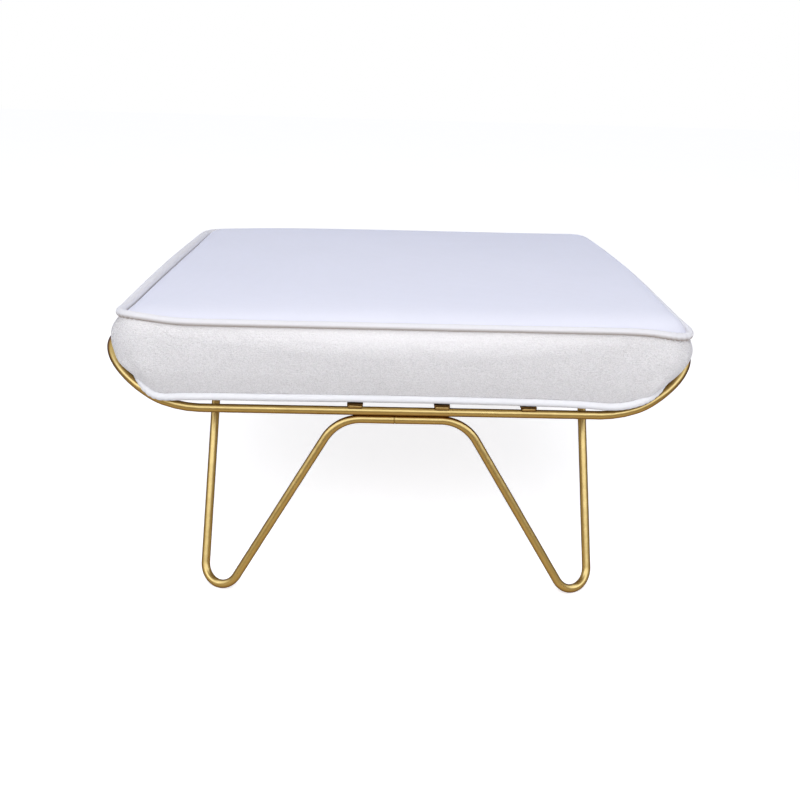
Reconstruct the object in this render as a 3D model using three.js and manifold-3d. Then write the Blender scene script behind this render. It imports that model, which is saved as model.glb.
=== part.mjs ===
// Low ottoman: a thick loose box cushion in a cradle of bent round rod that stands on four V-shaped feet.
// Millimetres, +Z up. The origin is on the floor under the middle, +X is right and +Y is back.
import * as THREE from "three";
import { mergeVertices } from "three/addons/utils/BufferGeometryUtils.js";
import Module from "manifold-3d";

const wasm = await Module();
wasm.setup();

// Rod frame
const ROD_RADIUS = 5.55;
const RAIL_HEIGHT = 235.5;
const RING_HALF_DEPTH = 260;
const RING_HALF_LENGTH = 397.5;
const RING_CORNER = 99;
const FOLD_REACH = 146;
const FOLD_RADIUS = 126.5;
const FOLD_ANGLE = THREE.MathUtils.degToRad(31);

// Leg loops: each is one closed rod with a run under the rail, two feet and a cross run under the slats
const RUN_CORNER_X = 81;
const RUN_BEND = 54;
const CROSS_RUN_HALF = 251;
const FOOT_LEAN = 6;
const FOOT_SPLAY = 76;
const FOOT_BEND = 27;
const CROSS_RUN_INSET = 94.5;
const CROSS_RUN_BEND = 30;
const FOOT_FLAT_DEPTH = 0.5;
const FOOT_ROUNDS = 40;

// Flat bars across the frame, with their weld beads
const SLAT_COUNT = 3;
const SLAT_PITCH = 110;
const SLAT_ROW_MIDDLE = 51.5;
const SLAT_WIDTH = 20;
const SLAT_THICKNESS = 4;
const SLAT_EDGE = 0.8;
const SLAT_OVERHANG = 1;
const BEAD_HEIGHT = 2.6;
const BEAD_REACH = 3.2;
const BEAD_INSET = 1;

// Beads in the groove between a rail and the run under it
const TACK_LENGTH = 22;
const TACK_PLACE = 52;
const TACK_NEAR = THREE.MathUtils.degToRad(28);
const TACK_FAR = THREE.MathUtils.degToRad(68);

// Cushion: its base lies in the cradle, and its top stands out over the base
const BASE_INSET = 47.5;
const BASE_OVERHANG = 7;
const BASE_DRAW = 11;
const BASE_CORNER = 38;
const TOP_END_OVERHANG = 13;
const TOP_SIDE_OVERHANG = 2;
const CUSHION_CORNER = 36;
const SIDE_BOW = 6;
const SEAM_RISE = 98;
const CROWN = 18;
const BOXING_BULGE = 9;
const SLACK_SHARE = 0.32;
const BULGE_PEAK_SHARE = 0.42;
const BAND_STAND_OFF = 0.7;
const PIPING_RADIUS = 5;
const COVER_THICKNESS = 1.6;
const WADDING_THICKNESS = 8;

// Zip in the rear side band
const ZIP_SHARE = 0.5;
const ZIP_OPENING = 5;
const ZIP_TAPE_HEIGHT = 15;
const ZIP_TAPE_THICKNESS = 0.9;
const ZIP_COIL_HEIGHT = 3.4;
const ZIP_END_MARGIN = 8;
const SLIDER_LENGTH = 10;
const SLIDER_HEIGHT = 8;
const SLIDER_PLATE = 1.6;
const SLIDER_CORNER = 2;
const BRIDGE_LENGTH = 7;
const BRIDGE_WIDTH = 2.4;
const BRIDGE_DEPTH = 2.6;
const BRIDGE_WALL = 0.9;
const FOAM_EASE = 2.2;

// Clearance between touching pieces, and how far a cut runs past what it cuts
const GAP = 0.3;
const OVERRUN = 5;

// How finely round shapes are divided
const ROD_SIDES = 12;
const PIPING_SIDES = 8;
const BEND_STEPS = 8;
const RING_CORNER_STEPS = 9;
const FOLD_STEPS = 4;
const BEAD_STEPS = 4;
const CUSHION_CORNER_STEPS = 6;
const LONG_SIDE_STEPS = 12;
const SHORT_SIDE_STEPS = 8;

// Sizes that follow from those above. Lifts are measured from the plane of the rails' centres.
const FOLD_START = RING_HALF_LENGTH - FOLD_REACH;
const SLAT_LOW = ROD_RADIUS + GAP;
const SLAT_TOP = SLAT_LOW + SLAT_THICKNESS;
const BASE_LIFT = SLAT_TOP + GAP;
const BASE_PIPING_LIFT = BASE_LIFT + PIPING_RADIUS;
const BASE_HALF_LENGTH = RING_HALF_LENGTH - BASE_INSET;
const BASE_HALF_DEPTH = RING_HALF_DEPTH + BASE_OVERHANG;
const CUSHION_HALF_WIDTH = onTray(BASE_HALF_LENGTH, 0, BASE_PIPING_LIFT).x + TOP_END_OVERHANG;
const CUSHION_HALF_DEPTH = RING_HALF_DEPTH + TOP_SIDE_OVERHANG;
const TOP_SEAM_HEIGHT = RAIL_HEIGHT + BASE_PIPING_LIFT + SEAM_RISE;

const GOLD = { color: 0xd9b25c, roughness: 0.34, metalness: 1 };
const GOLD_SHADE = { color: 0xa98544, roughness: 0.5, metalness: 1 };
const WHITE_CLOTH = { color: 0xe9e8ee, roughness: 0.85, metalness: 0 };
const FOAM = { color: 0xf0e2b6, roughness: 0.95, metalness: 0 };
const WADDING = { color: 0xf7f7f5, roughness: 1, metalness: 0 };
const ZIP_WHITE = { color: 0xf2f2f0, roughness: 0.5, metalness: 0 };
const ZIP_METAL = { color: 0xb9bcc0, roughness: 0.35, metalness: 1 };

const ottoman = new THREE.Group();

function addPiece(name, geometry, finish) {
  const mesh = new THREE.Mesh(geometry, new THREE.MeshStandardMaterial(finish));
  mesh.name = name;
  ottoman.add(mesh);
  return mesh;
}

// How the two ends of a lofted body are closed: joined to each other, by a fan round the loop's middle, or
// by rungs between the two halves of a thin loop.
const JOINED = "joined";
const FAN = "fan";
const RUNGS = "rungs";

// A closed body from loops with equal numbers of points, each joined to the next. Each four-sided cell is
// parted along its shorter diagonal, so that layers that lie on each other are parted alike.
function loft(loops, ends) {
  const count = loops[0].length;
  const points = loops.flat();
  const faces = [];
  const spans = ends === JOINED ? loops.length : loops.length - 1;
  for (let row = 0; row < spans; row++) {
    const here = row * count;
    const next = ((row + 1) % loops.length) * count;
    for (let i = 0; i < count; i++) {
      const j = (i + 1) % count;
      const [a, b, c, d] = [here + i, here + j, next + j, next + i];
      const turned = points[b].distanceTo(points[d]) < points[a].distanceTo(points[c]);
      faces.push(...(turned ? [a, b, d, b, c, d] : [a, b, c, a, c, d]));
    }
  }
  if (ends !== JOINED) {
    const endFaces = ends === FAN ? fanFaces : rungFaces;
    faces.push(...endFaces(points, 0, count).reverse());
    faces.push(...endFaces(points, (loops.length - 1) * count, count));
  }
  if (enclosedVolume(points, faces) < 0) faces.reverse();
  const geometry = new THREE.BufferGeometry().setFromPoints(points);
  geometry.setIndex(faces);
  geometry.computeVertexNormals();
  return geometry;
}

function fanFaces(points, start, count) {
  const middle = new THREE.Vector3();
  for (let i = 0; i < count; i++) middle.add(points[start + i]);
  points.push(middle.divideScalar(count));
  const faces = [];
  for (let i = 0; i < count; i++) {
    faces.push(start + i, start + ((i + 1) % count), points.length - 1);
  }
  return faces;
}

function rungFaces(points, start, count) {
  const faces = [];
  for (let i = 0; i < count / 2 - 1; i++) {
    const [a, b] = [start + i, start + i + 1];
    const [c, d] = [start + count - 2 - i, start + count - 1 - i];
    faces.push(a, b, c, a, c, d);
  }
  return faces;
}

function enclosedVolume(points, faces) {
  let volume = 0;
  for (let i = 0; i < faces.length; i += 3) {
    const [a, b, c] = [points[faces[i]], points[faces[i + 1]], points[faces[i + 2]]];
    volume += a.dot(new THREE.Vector3().crossVectors(b, c)) / 6;
  }
  return volume;
}

// A closed path through given points, so that bends have close steps and straights have none.
class PointLoop extends THREE.Curve {
  constructor(points) {
    super();
    this.points = points;
  }

  getPointAt(share) {
    return this.points[Math.round(share * this.points.length) % this.points.length];
  }

  getTangentAt(share) {
    const count = this.points.length;
    const at = Math.round(share * count);
    const before = this.points[(at + count - 1) % count];
    const after = this.points[(at + 1) % count];
    const here = this.points[at % count];
    const into = here.clone().sub(before).normalize();
    const out = after.clone().sub(here).normalize();
    return into.add(out).normalize();
  }
}

// A round rod or cord along a closed path.
function roundLoop(points, radius, sides) {
  const path = new PointLoop(points);
  const { normals, binormals } = path.computeFrenetFrames(points.length, true);
  const loops = points.map((point, i) =>
    Array.from({ length: sides }, (_, k) => {
      const turn = (2 * Math.PI * k) / sides;
      return point
        .clone()
        .addScaledVector(normals[i], radius * Math.cos(turn))
        .addScaledVector(binormals[i], radius * Math.sin(turn));
    }),
  );
  return loft(loops, JOINED);
}

// A closed path of straight lines through corner points, each corner bent to its own radius.
function bentPath(corners) {
  return corners.flatMap(({ at, bend }, i) => {
    const before = corners.at(i - 1).at;
    const after = corners[(i + 1) % corners.length].at;
    const back = before.clone().sub(at).normalize();
    const on = after.clone().sub(at).normalize();
    const half = back.angleTo(on) / 2;
    const centre = back
      .clone()
      .add(on)
      .normalize()
      .multiplyScalar(bend / Math.sin(half))
      .add(at);
    const start = at.clone().addScaledVector(back, bend / Math.tan(half)).sub(centre);
    const end = at.clone().addScaledVector(on, bend / Math.tan(half)).sub(centre);
    const sweep = start.angleTo(end);
    const axis = start.clone().cross(end).normalize();
    return Array.from({ length: BEND_STEPS + 1 }, (_, k) =>
      start
        .clone()
        .applyAxisAngle(axis, (sweep * k) / BEND_STEPS)
        .add(centre),
    );
  });
}

// The cradle is a flat tray with its two ends folded up. Along and across are measured on the flat tray,
// and lift is the height over the rails' centres, square to the tray.
function onTray(along, across, lift) {
  const past = Math.max(Math.abs(along) - FOLD_START, 0);
  const turn = Math.min(past / FOLD_RADIUS, FOLD_ANGLE);
  const straight = past - turn * FOLD_RADIUS;
  const inner = FOLD_RADIUS - lift;
  const level = Math.min(Math.abs(along), FOLD_START);
  const x = level + inner * Math.sin(turn) + straight * Math.cos(turn);
  const z = RAIL_HEIGHT + FOLD_RADIUS - inner * Math.cos(turn) + straight * Math.sin(turn);
  return new THREE.Vector3(Math.sign(along) * x, across, z);
}

// A rounded rectangle as points with their outward directions, from the left end of the back and round by the
// left side, the front, the right side and the back. It has the same number of points whatever its size.
function roundedOutline(halfX, halfY, corner, inward = 0) {
  const edge = [];
  const cornerPoints = (cx, cy, from) => {
    for (let k = 0; k <= CUSHION_CORNER_STEPS; k++) {
      const angle = from + (Math.PI / 2) * (k / CUSHION_CORNER_STEPS);
      const out = new THREE.Vector2(Math.cos(angle), Math.sin(angle));
      edge.push({ x: cx + (corner - inward) * out.x, y: cy + (corner - inward) * out.y, out });
    }
  };
  const sidePoints = (steps, first, last) => {
    const [a, b] = [edge.at(-1), { x: first, y: last }];
    for (let k = 1; k < steps; k++) {
      const share = k / steps;
      edge.push({ x: a.x + (b.x - a.x) * share, y: a.y + (b.y - a.y) * share, out: a.out });
    }
  };
  const [cx, cy] = [halfX - corner, halfY - corner];
  const [sx, sy] = [halfX - inward, halfY - inward];
  cornerPoints(-cx, cy, Math.PI / 2);
  sidePoints(SHORT_SIDE_STEPS, -sx, -cy);
  cornerPoints(-cx, -cy, Math.PI);
  sidePoints(LONG_SIDE_STEPS, cx, -sy);
  cornerPoints(cx, -cy, -Math.PI / 2);
  sidePoints(SHORT_SIDE_STEPS, sx, cy);
  cornerPoints(cx, cy, 0);
  sidePoints(LONG_SIDE_STEPS, -cx, sy);
  return edge;
}

// The seam round the top of the cushion. Its short sides bow out a little between the corners.
function topSeam(inward = 0) {
  return roundedOutline(CUSHION_HALF_WIDTH, CUSHION_HALF_DEPTH, CUSHION_CORNER, inward).map(
    ({ x, y, out }) => {
      const bow = SIDE_BOW * (1 - (y / CUSHION_HALF_DEPTH) ** 2) * (x / CUSHION_HALF_WIDTH);
      return { at: new THREE.Vector3(x + bow, y, TOP_SEAM_HEIGHT), out };
    },
  );
}

// The seam round the bottom of the cushion, on the flat tray. Its front is drawn in between the corners, and
// the zip keeps its back straight.
function baseSeam(inward = 0) {
  return roundedOutline(BASE_HALF_LENGTH, BASE_HALF_DEPTH, BASE_CORNER, inward).map(({ x, y, out }) => {
    const draw = BASE_DRAW * (1 - (x / BASE_HALF_LENGTH) ** 2) * Math.max(-y / BASE_HALF_DEPTH, 0);
    return { x, y: y + draw, out };
  });
}

const LOW_SEAM = baseSeam().map(({ x, y, out }) => ({ at: onTray(x, y, BASE_PIPING_LIFT), out }));
const HIGH_SEAM = topSeam();
const SEAM_COUNT = HIGH_SEAM.length;

// A seam's point and outward direction at a place round it, which may lie between two points.
function alongSeam(seam, place) {
  const first = Math.floor(place);
  const [a, b] = [seam[first % SEAM_COUNT], seam[(first + 1) % SEAM_COUNT]];
  const share = place - first;
  return { at: a.at.clone().lerp(b.at, share), out: a.out.clone().lerp(b.out, share) };
}

// The power that puts the fullest place of the side band at BULGE_PEAK_SHARE of its height.
const BULGE_POWER = Math.log(1 / 2) / Math.log(BULGE_PEAK_SHARE);

// A place on the side band: height runs from 0 at the bottom seam to 1 at the top seam, and depth is how far
// the place lies inside the band's outer face. Where the seams come nearer to each other than the band is
// tall, at the folded ends, the slack cloth makes the band fuller.
function onBoxing(place, height, depth) {
  const low = alongSeam(LOW_SEAM, place);
  const high = alongSeam(HIGH_SEAM, place);
  const slack = SEAM_RISE - low.at.distanceTo(high.at);
  const fullness = Math.sin(Math.PI * height ** BULGE_POWER);
  const bulge = (BOXING_BULGE + SLACK_SHARE * Math.max(slack, 0)) * fullness - depth;
  const point = low.at.lerp(high.at, height);
  point.x += high.out.x * bulge;
  point.y += high.out.y * bulge;
  return point;
}

// The share of the side band's height that a length takes up.
function bandShare(place, length) {
  return length / alongSeam(LOW_SEAM, place).at.distanceTo(alongSeam(HIGH_SEAM, place).at);
}

// A strip of the side band from one place round the seam to another. Its lower and upper edges are shares of
// the band's height, worked out at each place.
function bandStrip(first, last, lowEdge, highEdge, steps) {
  const places = [first];
  for (let place = Math.floor(first) + 1; place < last; place++) places.push(place);
  places.push(last);
  const sections = places.map((place) => {
    const low = lowEdge(place);
    const high = highEdge(place);
    const heights = Array.from({ length: steps + 1 }, (_, k) => low + ((high - low) * k) / steps);
    const outer = heights.map((height) => onBoxing(place, height, 0));
    const inner = heights.map((height) => onBoxing(place, height, COVER_THICKNESS));
    return [...outer, ...inner.reverse()];
  });
  return loft(sections, RUNGS);
}

// A layer between a lower and an upper face. Each face is a set of nested loops from the rim to the middle.
function layer(lowerFace, upperFace) {
  return loft([...lowerFace.toReversed(), ...upperFace], FAN);
}

// Where the nested loops of the crowned layers and of the layers on the tray lie between rim and middle.
const CROWN_SHARES = [1, 0.965, 0.88, 0.7, 0.4];
const TRAY_SHARES = [1, 0.91, 0.82, 0.72];
const FOAM_SIDE_SHARES = [0.22, 0.36, 0.5, 0.67, 0.83];

// A face of the crowned top, a given depth under the outside of the top panel.
function crownFace(inward, depth) {
  const rim = topSeam(inward);
  return CROWN_SHARES.map((share) => {
    const rise = CROWN * Math.sqrt(1 - share ** 4) - depth;
    return rim.map(({ at }) => new THREE.Vector3(at.x * share, at.y * share, at.z + rise));
  });
}

// A face of the cushion's underside, at a given lift over the rails' centres.
function baseFace(inward, lift) {
  const rim = baseSeam(inward);
  return TRAY_SHARES.map((share) => rim.map(({ x, y }) => onTray(x * share, y * share, lift)));
}

function seatRing() {
  const flat = [];
  const [cx, cy] = [RING_HALF_LENGTH - RING_CORNER, RING_HALF_DEPTH - RING_CORNER];
  for (const [signX, signY, from] of [
    [-1, 1, Math.PI / 2],
    [-1, -1, Math.PI],
    [1, -1, -Math.PI / 2],
    [1, 1, 0],
  ]) {
    const corner = [];
    for (let k = 0; k <= RING_CORNER_STEPS; k++) {
      const angle = from + (Math.PI / 2) * (k / RING_CORNER_STEPS);
      corner.push([
        signX * cx + RING_CORNER * Math.cos(angle),
        signY * cy + RING_CORNER * Math.sin(angle),
      ]);
    }
    const fold = [];
    for (let k = 0; k < FOLD_STEPS; k++) {
      fold.push([signX * (FOLD_START + ((cx - FOLD_START) * k) / FOLD_STEPS), signY * RING_HALF_DEPTH]);
    }
    // The fold comes before the corner on the way out of a long side and after it on the way back in.
    flat.push(...(signX === signY ? [...corner, ...fold.reverse()] : [...fold, ...corner]));
  }
  return roundLoop(
    flat.map(([along, across]) => onTray(along, across, 0)),
    ROD_RADIUS,
    ROD_SIDES,
  );
}

// The bend of a foot, where the rod turns from the sloping branch to the upright one. The corner point is
// lowered until the bend's underside, less its flat, lies on the floor.
function footCorner(signX, run, cross) {
  const corner = new THREE.Vector3(signX * (CROSS_RUN_HALF + FOOT_LEAN), run.y - FOOT_SPLAY, 0);
  for (let round = 0; round < FOOT_ROUNDS; round++) {
    const bend = bentPath([
      { at: run, bend: RUN_BEND },
      { at: corner, bend: FOOT_BEND },
      { at: cross, bend: CROSS_RUN_BEND },
    ]).slice(BEND_STEPS + 1, 2 * (BEND_STEPS + 1));
    const lowest = Math.min(...bend.map((p) => p.z));
    corner.z += ROD_RADIUS - FOOT_FLAT_DEPTH - lowest;
  }
  return corner;
}

function legLoop() {
  const runY = -RING_HALF_DEPTH;
  const crossY = -(RING_HALF_DEPTH - CROSS_RUN_INSET);
  const runZ = RAIL_HEIGHT - 2 * ROD_RADIUS - GAP;
  const side = (sign) => {
    const run = new THREE.Vector3(sign * RUN_CORNER_X, runY, runZ);
    const cross = new THREE.Vector3(sign * CROSS_RUN_HALF, crossY, RAIL_HEIGHT);
    return { run, cross, foot: footCorner(sign, run, cross) };
  };
  const [left, right] = [side(-1), side(1)];
  const path = bentPath([
    { at: left.run, bend: RUN_BEND },
    { at: right.run, bend: RUN_BEND },
    { at: right.foot, bend: FOOT_BEND },
    { at: right.cross, bend: CROSS_RUN_BEND },
    { at: left.cross, bend: CROSS_RUN_BEND },
    { at: left.foot, bend: FOOT_BEND },
  ]);
  return flattened(roundLoop(path, ROD_RADIUS, ROD_SIDES));
}

// Cuts away what lies under the floor, which leaves a small flat under each foot.
function flattened(geometry) {
  const reach = 2 * (RING_HALF_LENGTH + FOOT_SPLAY + OVERRUN);
  const floor = new THREE.BoxGeometry(reach, reach, OVERRUN).translate(0, 0, -OVERRUN / 2);
  return fromSolid(toSolid(geometry).subtract(toSolid(floor)));
}

function toSolid(geometry) {
  const bare = new THREE.BufferGeometry();
  bare.setAttribute("position", geometry.getAttribute("position").clone());
  bare.setIndex(geometry.index ? geometry.index.clone() : null);
  const merged = mergeVertices(bare);
  return new wasm.Manifold(
    new wasm.Mesh({
      numProp: 3,
      vertProperties: new Float32Array(merged.getAttribute("position").array),
      triVerts: new Uint32Array(merged.index.array),
    }),
  );
}

function fromSolid(solid) {
  const mesh = solid.getMesh();
  const geometry = new THREE.BufferGeometry();
  geometry.setAttribute("position", new THREE.BufferAttribute(mesh.vertProperties, mesh.numProp));
  geometry.setIndex(new THREE.BufferAttribute(mesh.triVerts, 1));
  geometry.computeVertexNormals();
  return geometry;
}

// A flat bar with eased edges, along Y and centred on the origin, its lower face at height 0.
function slat() {
  const half = SLAT_WIDTH / 2;
  const section = new THREE.Shape();
  section.absarc(half - SLAT_EDGE, SLAT_EDGE, SLAT_EDGE, -Math.PI / 2, 0);
  section.absarc(half - SLAT_EDGE, SLAT_THICKNESS - SLAT_EDGE, SLAT_EDGE, 0, Math.PI / 2);
  section.absarc(SLAT_EDGE - half, SLAT_THICKNESS - SLAT_EDGE, SLAT_EDGE, Math.PI / 2, Math.PI);
  section.absarc(SLAT_EDGE - half, SLAT_EDGE, SLAT_EDGE, Math.PI, 1.5 * Math.PI);
  const length = 2 * (RING_HALF_DEPTH + SLAT_OVERHANG);
  const bar = new THREE.ExtrudeGeometry(section, {
    depth: length,
    bevelEnabled: false,
    curveSegments: 2,
  });
  return bar.rotateX(Math.PI / 2).translate(0, length / 2, 0);
}

// A weld bead in the corner between a slat's front end and the top of the rail, along X.
// Its section runs from the slat's end down to the rod and back along the rod's face.
function slatBead() {
  const reach = ROD_RADIUS + GAP;
  const from = Math.PI / 2 + Math.asin((SLAT_OVERHANG + GAP) / reach);
  const to = Math.PI / 2 + Math.asin((SLAT_OVERHANG + BEAD_REACH) / reach);
  const section = new THREE.Shape();
  section.absarc(0, 0, reach, from, to);
  section.quadraticCurveTo(
    -(SLAT_OVERHANG + BEAD_REACH / 2),
    reach + BEAD_HEIGHT / 2,
    -(SLAT_OVERHANG + GAP),
    reach + BEAD_HEIGHT,
  );
  return acrossX(section, SLAT_WIDTH - 2 * BEAD_INSET, BEAD_STEPS);
}

// A bead in the groove between a rail and the run under it, along X. The rail's centre is the origin, and the
// bead lies on the side of +Y.
function grooveBead() {
  const reach = ROD_RADIUS + GAP;
  const low = -(2 * ROD_RADIUS + GAP);
  const section = new THREE.Shape();
  section.absarc(0, 0, reach, -TACK_NEAR, -TACK_FAR, true);
  section.absarc(0, low, reach, TACK_FAR, TACK_NEAR, true);
  return acrossX(section, TACK_LENGTH, BEAD_STEPS);
}

function addFrame() {
  addPiece("seat_ring", seatRing(), GOLD);
  addPiece("leg_loop_front", legLoop(), GOLD);
  addPiece("leg_loop_rear", legLoop().rotateZ(Math.PI), GOLD);
  for (const [side, sign] of [
    ["left", -1],
    ["right", 1],
  ]) {
    const front = addPiece(`rail_weld_front_${side}`, grooveBead(), GOLD_SHADE);
    front.position.set(sign * TACK_PLACE, -RING_HALF_DEPTH, RAIL_HEIGHT);
    const rear = addPiece(`rail_weld_rear_${side}`, grooveBead(), GOLD_SHADE);
    rear.position.set(sign * TACK_PLACE, RING_HALF_DEPTH, RAIL_HEIGHT);
    rear.rotation.z = Math.PI;
  }
  for (let i = 0; i < SLAT_COUNT; i++) {
    const x = SLAT_ROW_MIDDLE + (i - (SLAT_COUNT - 1) / 2) * SLAT_PITCH;
    const bar = addPiece(`slat_${i + 1}`, slat(), GOLD_SHADE);
    bar.position.set(x, 0, RAIL_HEIGHT + SLAT_LOW);
    const front = addPiece(`slat_weld_front_${i + 1}`, slatBead(), GOLD_SHADE);
    front.position.set(x, -RING_HALF_DEPTH, RAIL_HEIGHT);
    const rear = addPiece(`slat_weld_rear_${i + 1}`, slatBead(), GOLD_SHADE);
    rear.position.set(x, RING_HALF_DEPTH, RAIL_HEIGHT);
    rear.rotation.z = Math.PI;
  }
}

// The straight stretch of the rear band that holds the zip, as places round the seam, and its middle.
const ZIP_FIRST = SEAM_COUNT - LONG_SIDE_STEPS + 1;
const ZIP_LAST = SEAM_COUNT - 1;
const ZIP_MIDDLE = (ZIP_FIRST + ZIP_LAST) / 2;
const BAND_STEP = (2 * (CUSHION_HALF_WIDTH - CUSHION_CORNER)) / LONG_SIDE_STEPS;

const PIPING_RIM = PIPING_RADIUS + GAP;
const BAND_RIM = PIPING_RADIUS + BAND_STAND_OFF;
const lowRim = (place) => bandShare(place, BAND_RIM);
const highRim = (place) => 1 - bandShare(place, BAND_RIM);
const BOXING_ROWS = 6;
const ZIP_BAND_ROWS = 3;

function addCover() {
  addPiece(
    "cover_top",
    layer(
      crownFace(PIPING_RIM, COVER_THICKNESS),
      crownFace(PIPING_RIM, 0),
    ),
    WHITE_CLOTH,
  );
  addPiece(
    "cover_bottom",
    layer(
      baseFace(PIPING_RIM, BASE_LIFT),
      baseFace(PIPING_RIM, BASE_LIFT + COVER_THICKNESS),
    ),
    WHITE_CLOTH,
  );
  for (const [name, seam] of [
    ["piping_top", HIGH_SEAM],
    ["piping_bottom", LOW_SEAM],
  ]) {
    const path = seam.map(({ at }) => at);
    addPiece(name, roundLoop(path, PIPING_RADIUS, PIPING_SIDES), WHITE_CLOTH);
  }
  const join = GAP / BAND_STEP;
  addPiece(
    "boxing",
    bandStrip(ZIP_LAST + join, SEAM_COUNT + ZIP_FIRST - join, lowRim, highRim, BOXING_ROWS),
    WHITE_CLOTH,
  );
}

function addZip() {
  const belowZip = (place) => ZIP_SHARE - bandShare(place, ZIP_OPENING / 2);
  const aboveZip = (place) => ZIP_SHARE + bandShare(place, ZIP_OPENING / 2);
  const lower = bandStrip(ZIP_FIRST, ZIP_LAST, lowRim, belowZip, ZIP_BAND_ROWS);
  const upper = bandStrip(ZIP_FIRST, ZIP_LAST, aboveZip, highRim, ZIP_BAND_ROWS);
  addPiece("zip_band_lower", lower, WHITE_CLOTH);
  addPiece("zip_band_upper", upper, WHITE_CLOTH);

  const middle = onBoxing(ZIP_MIDDLE, ZIP_SHARE, 0);
  const tapeReach = bandShare(ZIP_MIDDLE, ZIP_TAPE_HEIGHT / 2);
  const cloth = [ZIP_SHARE - tapeReach, ZIP_SHARE + tapeReach].map(
    (share) => onBoxing(ZIP_MIDDLE, share, COVER_THICKNESS).y,
  );
  const tapeFace = Math.min(...cloth) - GAP;
  const halfLength = Math.min(onBoxing(ZIP_FIRST, ZIP_SHARE, 0).x, FOLD_START) - ZIP_END_MARGIN;
  addPiece("zip_chain", zipChain(middle, tapeFace, halfLength), ZIP_WHITE);
  addPiece("zip_slider", zipSlider(), ZIP_METAL).position.set(
    SLIDER_LENGTH / 2 - halfLength,
    middle.y + GAP + sliderStandOff(),
    middle.z,
  );
}

// The tape lies behind the two strips, and its coil stands in the opening between them.
function zipChain(middle, tapeFace, halfLength) {
  const section = new THREE.Shape();
  const tapeBack = tapeFace - ZIP_TAPE_THICKNESS;
  const [tape, coil] = [ZIP_TAPE_HEIGHT / 2, ZIP_COIL_HEIGHT / 2];
  section.moveTo(tapeBack, middle.z - tape);
  section.lineTo(tapeFace, middle.z - tape);
  section.lineTo(tapeFace, middle.z - coil);
  section.lineTo(middle.y, middle.z - coil);
  section.lineTo(middle.y, middle.z + coil);
  section.lineTo(tapeFace, middle.z + coil);
  section.lineTo(tapeFace, middle.z + tape);
  section.lineTo(tapeBack, middle.z + tape);
  return acrossX(section, 2 * halfLength, 1);
}

// Turns a section drawn in Y and Z into a body of a given length along X, centred on X = 0.
function acrossX(section, length, curveSegments) {
  const body = new THREE.ExtrudeGeometry(section, { depth: length, bevelEnabled: false, curveSegments });
  return body
    .rotateX(Math.PI / 2)
    .rotateZ(Math.PI / 2)
    .translate(-length / 2, 0, 0);
}

// How far the slider's back stands off the coil, so that it clears the strips over its whole height.
function sliderStandOff() {
  const reach = bandShare(ZIP_MIDDLE, SLIDER_HEIGHT / 2);
  const edge = Math.max(
    onBoxing(ZIP_MIDDLE, ZIP_SHARE - reach, 0).y,
    onBoxing(ZIP_MIDDLE, ZIP_SHARE + reach, 0).y,
  );
  return edge - onBoxing(ZIP_MIDDLE, ZIP_SHARE, 0).y;
}

// A slider without a tab: a rounded plate with a low bridge over it.
function zipSlider() {
  const [length, height] = [SLIDER_LENGTH / 2, SLIDER_HEIGHT / 2];
  const outline = new THREE.Shape();
  outline.absarc(length - SLIDER_CORNER, height - SLIDER_CORNER, SLIDER_CORNER, 0, Math.PI / 2);
  outline.absarc(SLIDER_CORNER - length, height - SLIDER_CORNER, SLIDER_CORNER, Math.PI / 2, Math.PI);
  outline.absarc(SLIDER_CORNER - length, SLIDER_CORNER - height, SLIDER_CORNER, Math.PI, 1.5 * Math.PI);
  outline.absarc(length - SLIDER_CORNER, SLIDER_CORNER - height, SLIDER_CORNER, 1.5 * Math.PI, 2 * Math.PI);
  const plate = new THREE.ExtrudeGeometry(outline, {
    depth: SLIDER_PLATE,
    bevelEnabled: false,
    curveSegments: 4,
  });
  const arch = new THREE.Shape();
  const [wide, tall] = [BRIDGE_LENGTH / 2, BRIDGE_DEPTH];
  arch.moveTo(-wide, 0);
  arch.quadraticCurveTo(-wide, tall, 0, tall);
  arch.quadraticCurveTo(wide, tall, wide, 0);
  arch.lineTo(wide - BRIDGE_WALL, 0);
  arch.quadraticCurveTo(wide - BRIDGE_WALL, tall - BRIDGE_WALL, 0, tall - BRIDGE_WALL);
  arch.quadraticCurveTo(BRIDGE_WALL - wide, tall - BRIDGE_WALL, BRIDGE_WALL - wide, 0);
  const bridge = new THREE.ExtrudeGeometry(arch, {
    depth: BRIDGE_WIDTH,
    bevelEnabled: false,
    curveSegments: 6,
  });
  // The plate stands upright with its face to the back, and the bridge springs from inside the plate's face.
  plate.rotateX(-Math.PI / 2);
  bridge.translate(0, SLIDER_PLATE - BRIDGE_WALL / 2, -BRIDGE_WIDTH / 2);
  return fromSolid(toSolid(plate).add(toSolid(bridge)));
}

function addFilling() {
  const rim = PIPING_RIM + GAP;
  const under = COVER_THICKNESS + GAP;
  addPiece(
    "wadding_top",
    layer(
      crownFace(rim, under + WADDING_THICKNESS),
      crownFace(rim, under),
    ),
    WADDING,
  );
  addPiece(
    "wadding_bottom",
    layer(
      baseFace(rim, BASE_LIFT + under),
      baseFace(rim, BASE_LIFT + under + WADDING_THICKNESS),
    ),
    WADDING,
  );
  const inset = COVER_THICKNESS + ZIP_TAPE_THICKNESS + FOAM_EASE;
  const foamDepth = under + WADDING_THICKNESS + GAP;
  const sides = FOAM_SIDE_SHARES.map((height) => HIGH_SEAM.map((_, i) => onBoxing(i, height, inset)));
  addPiece(
    "foam_core",
    loft(
      [
        ...baseFace(rim, BASE_LIFT + foamDepth).reverse(),
        ...sides,
        ...crownFace(rim, foamDepth),
      ],
      FAN,
    ),
    FOAM,
  );
}

addFrame();
addCover();
addZip();
addFilling();

export default ottoman;
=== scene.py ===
from math import atan2, ceil, cos, exp, log, pi, radians, sin, tan

import bpy
import numpy as np
from mathutils import Matrix, Vector, noise


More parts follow.
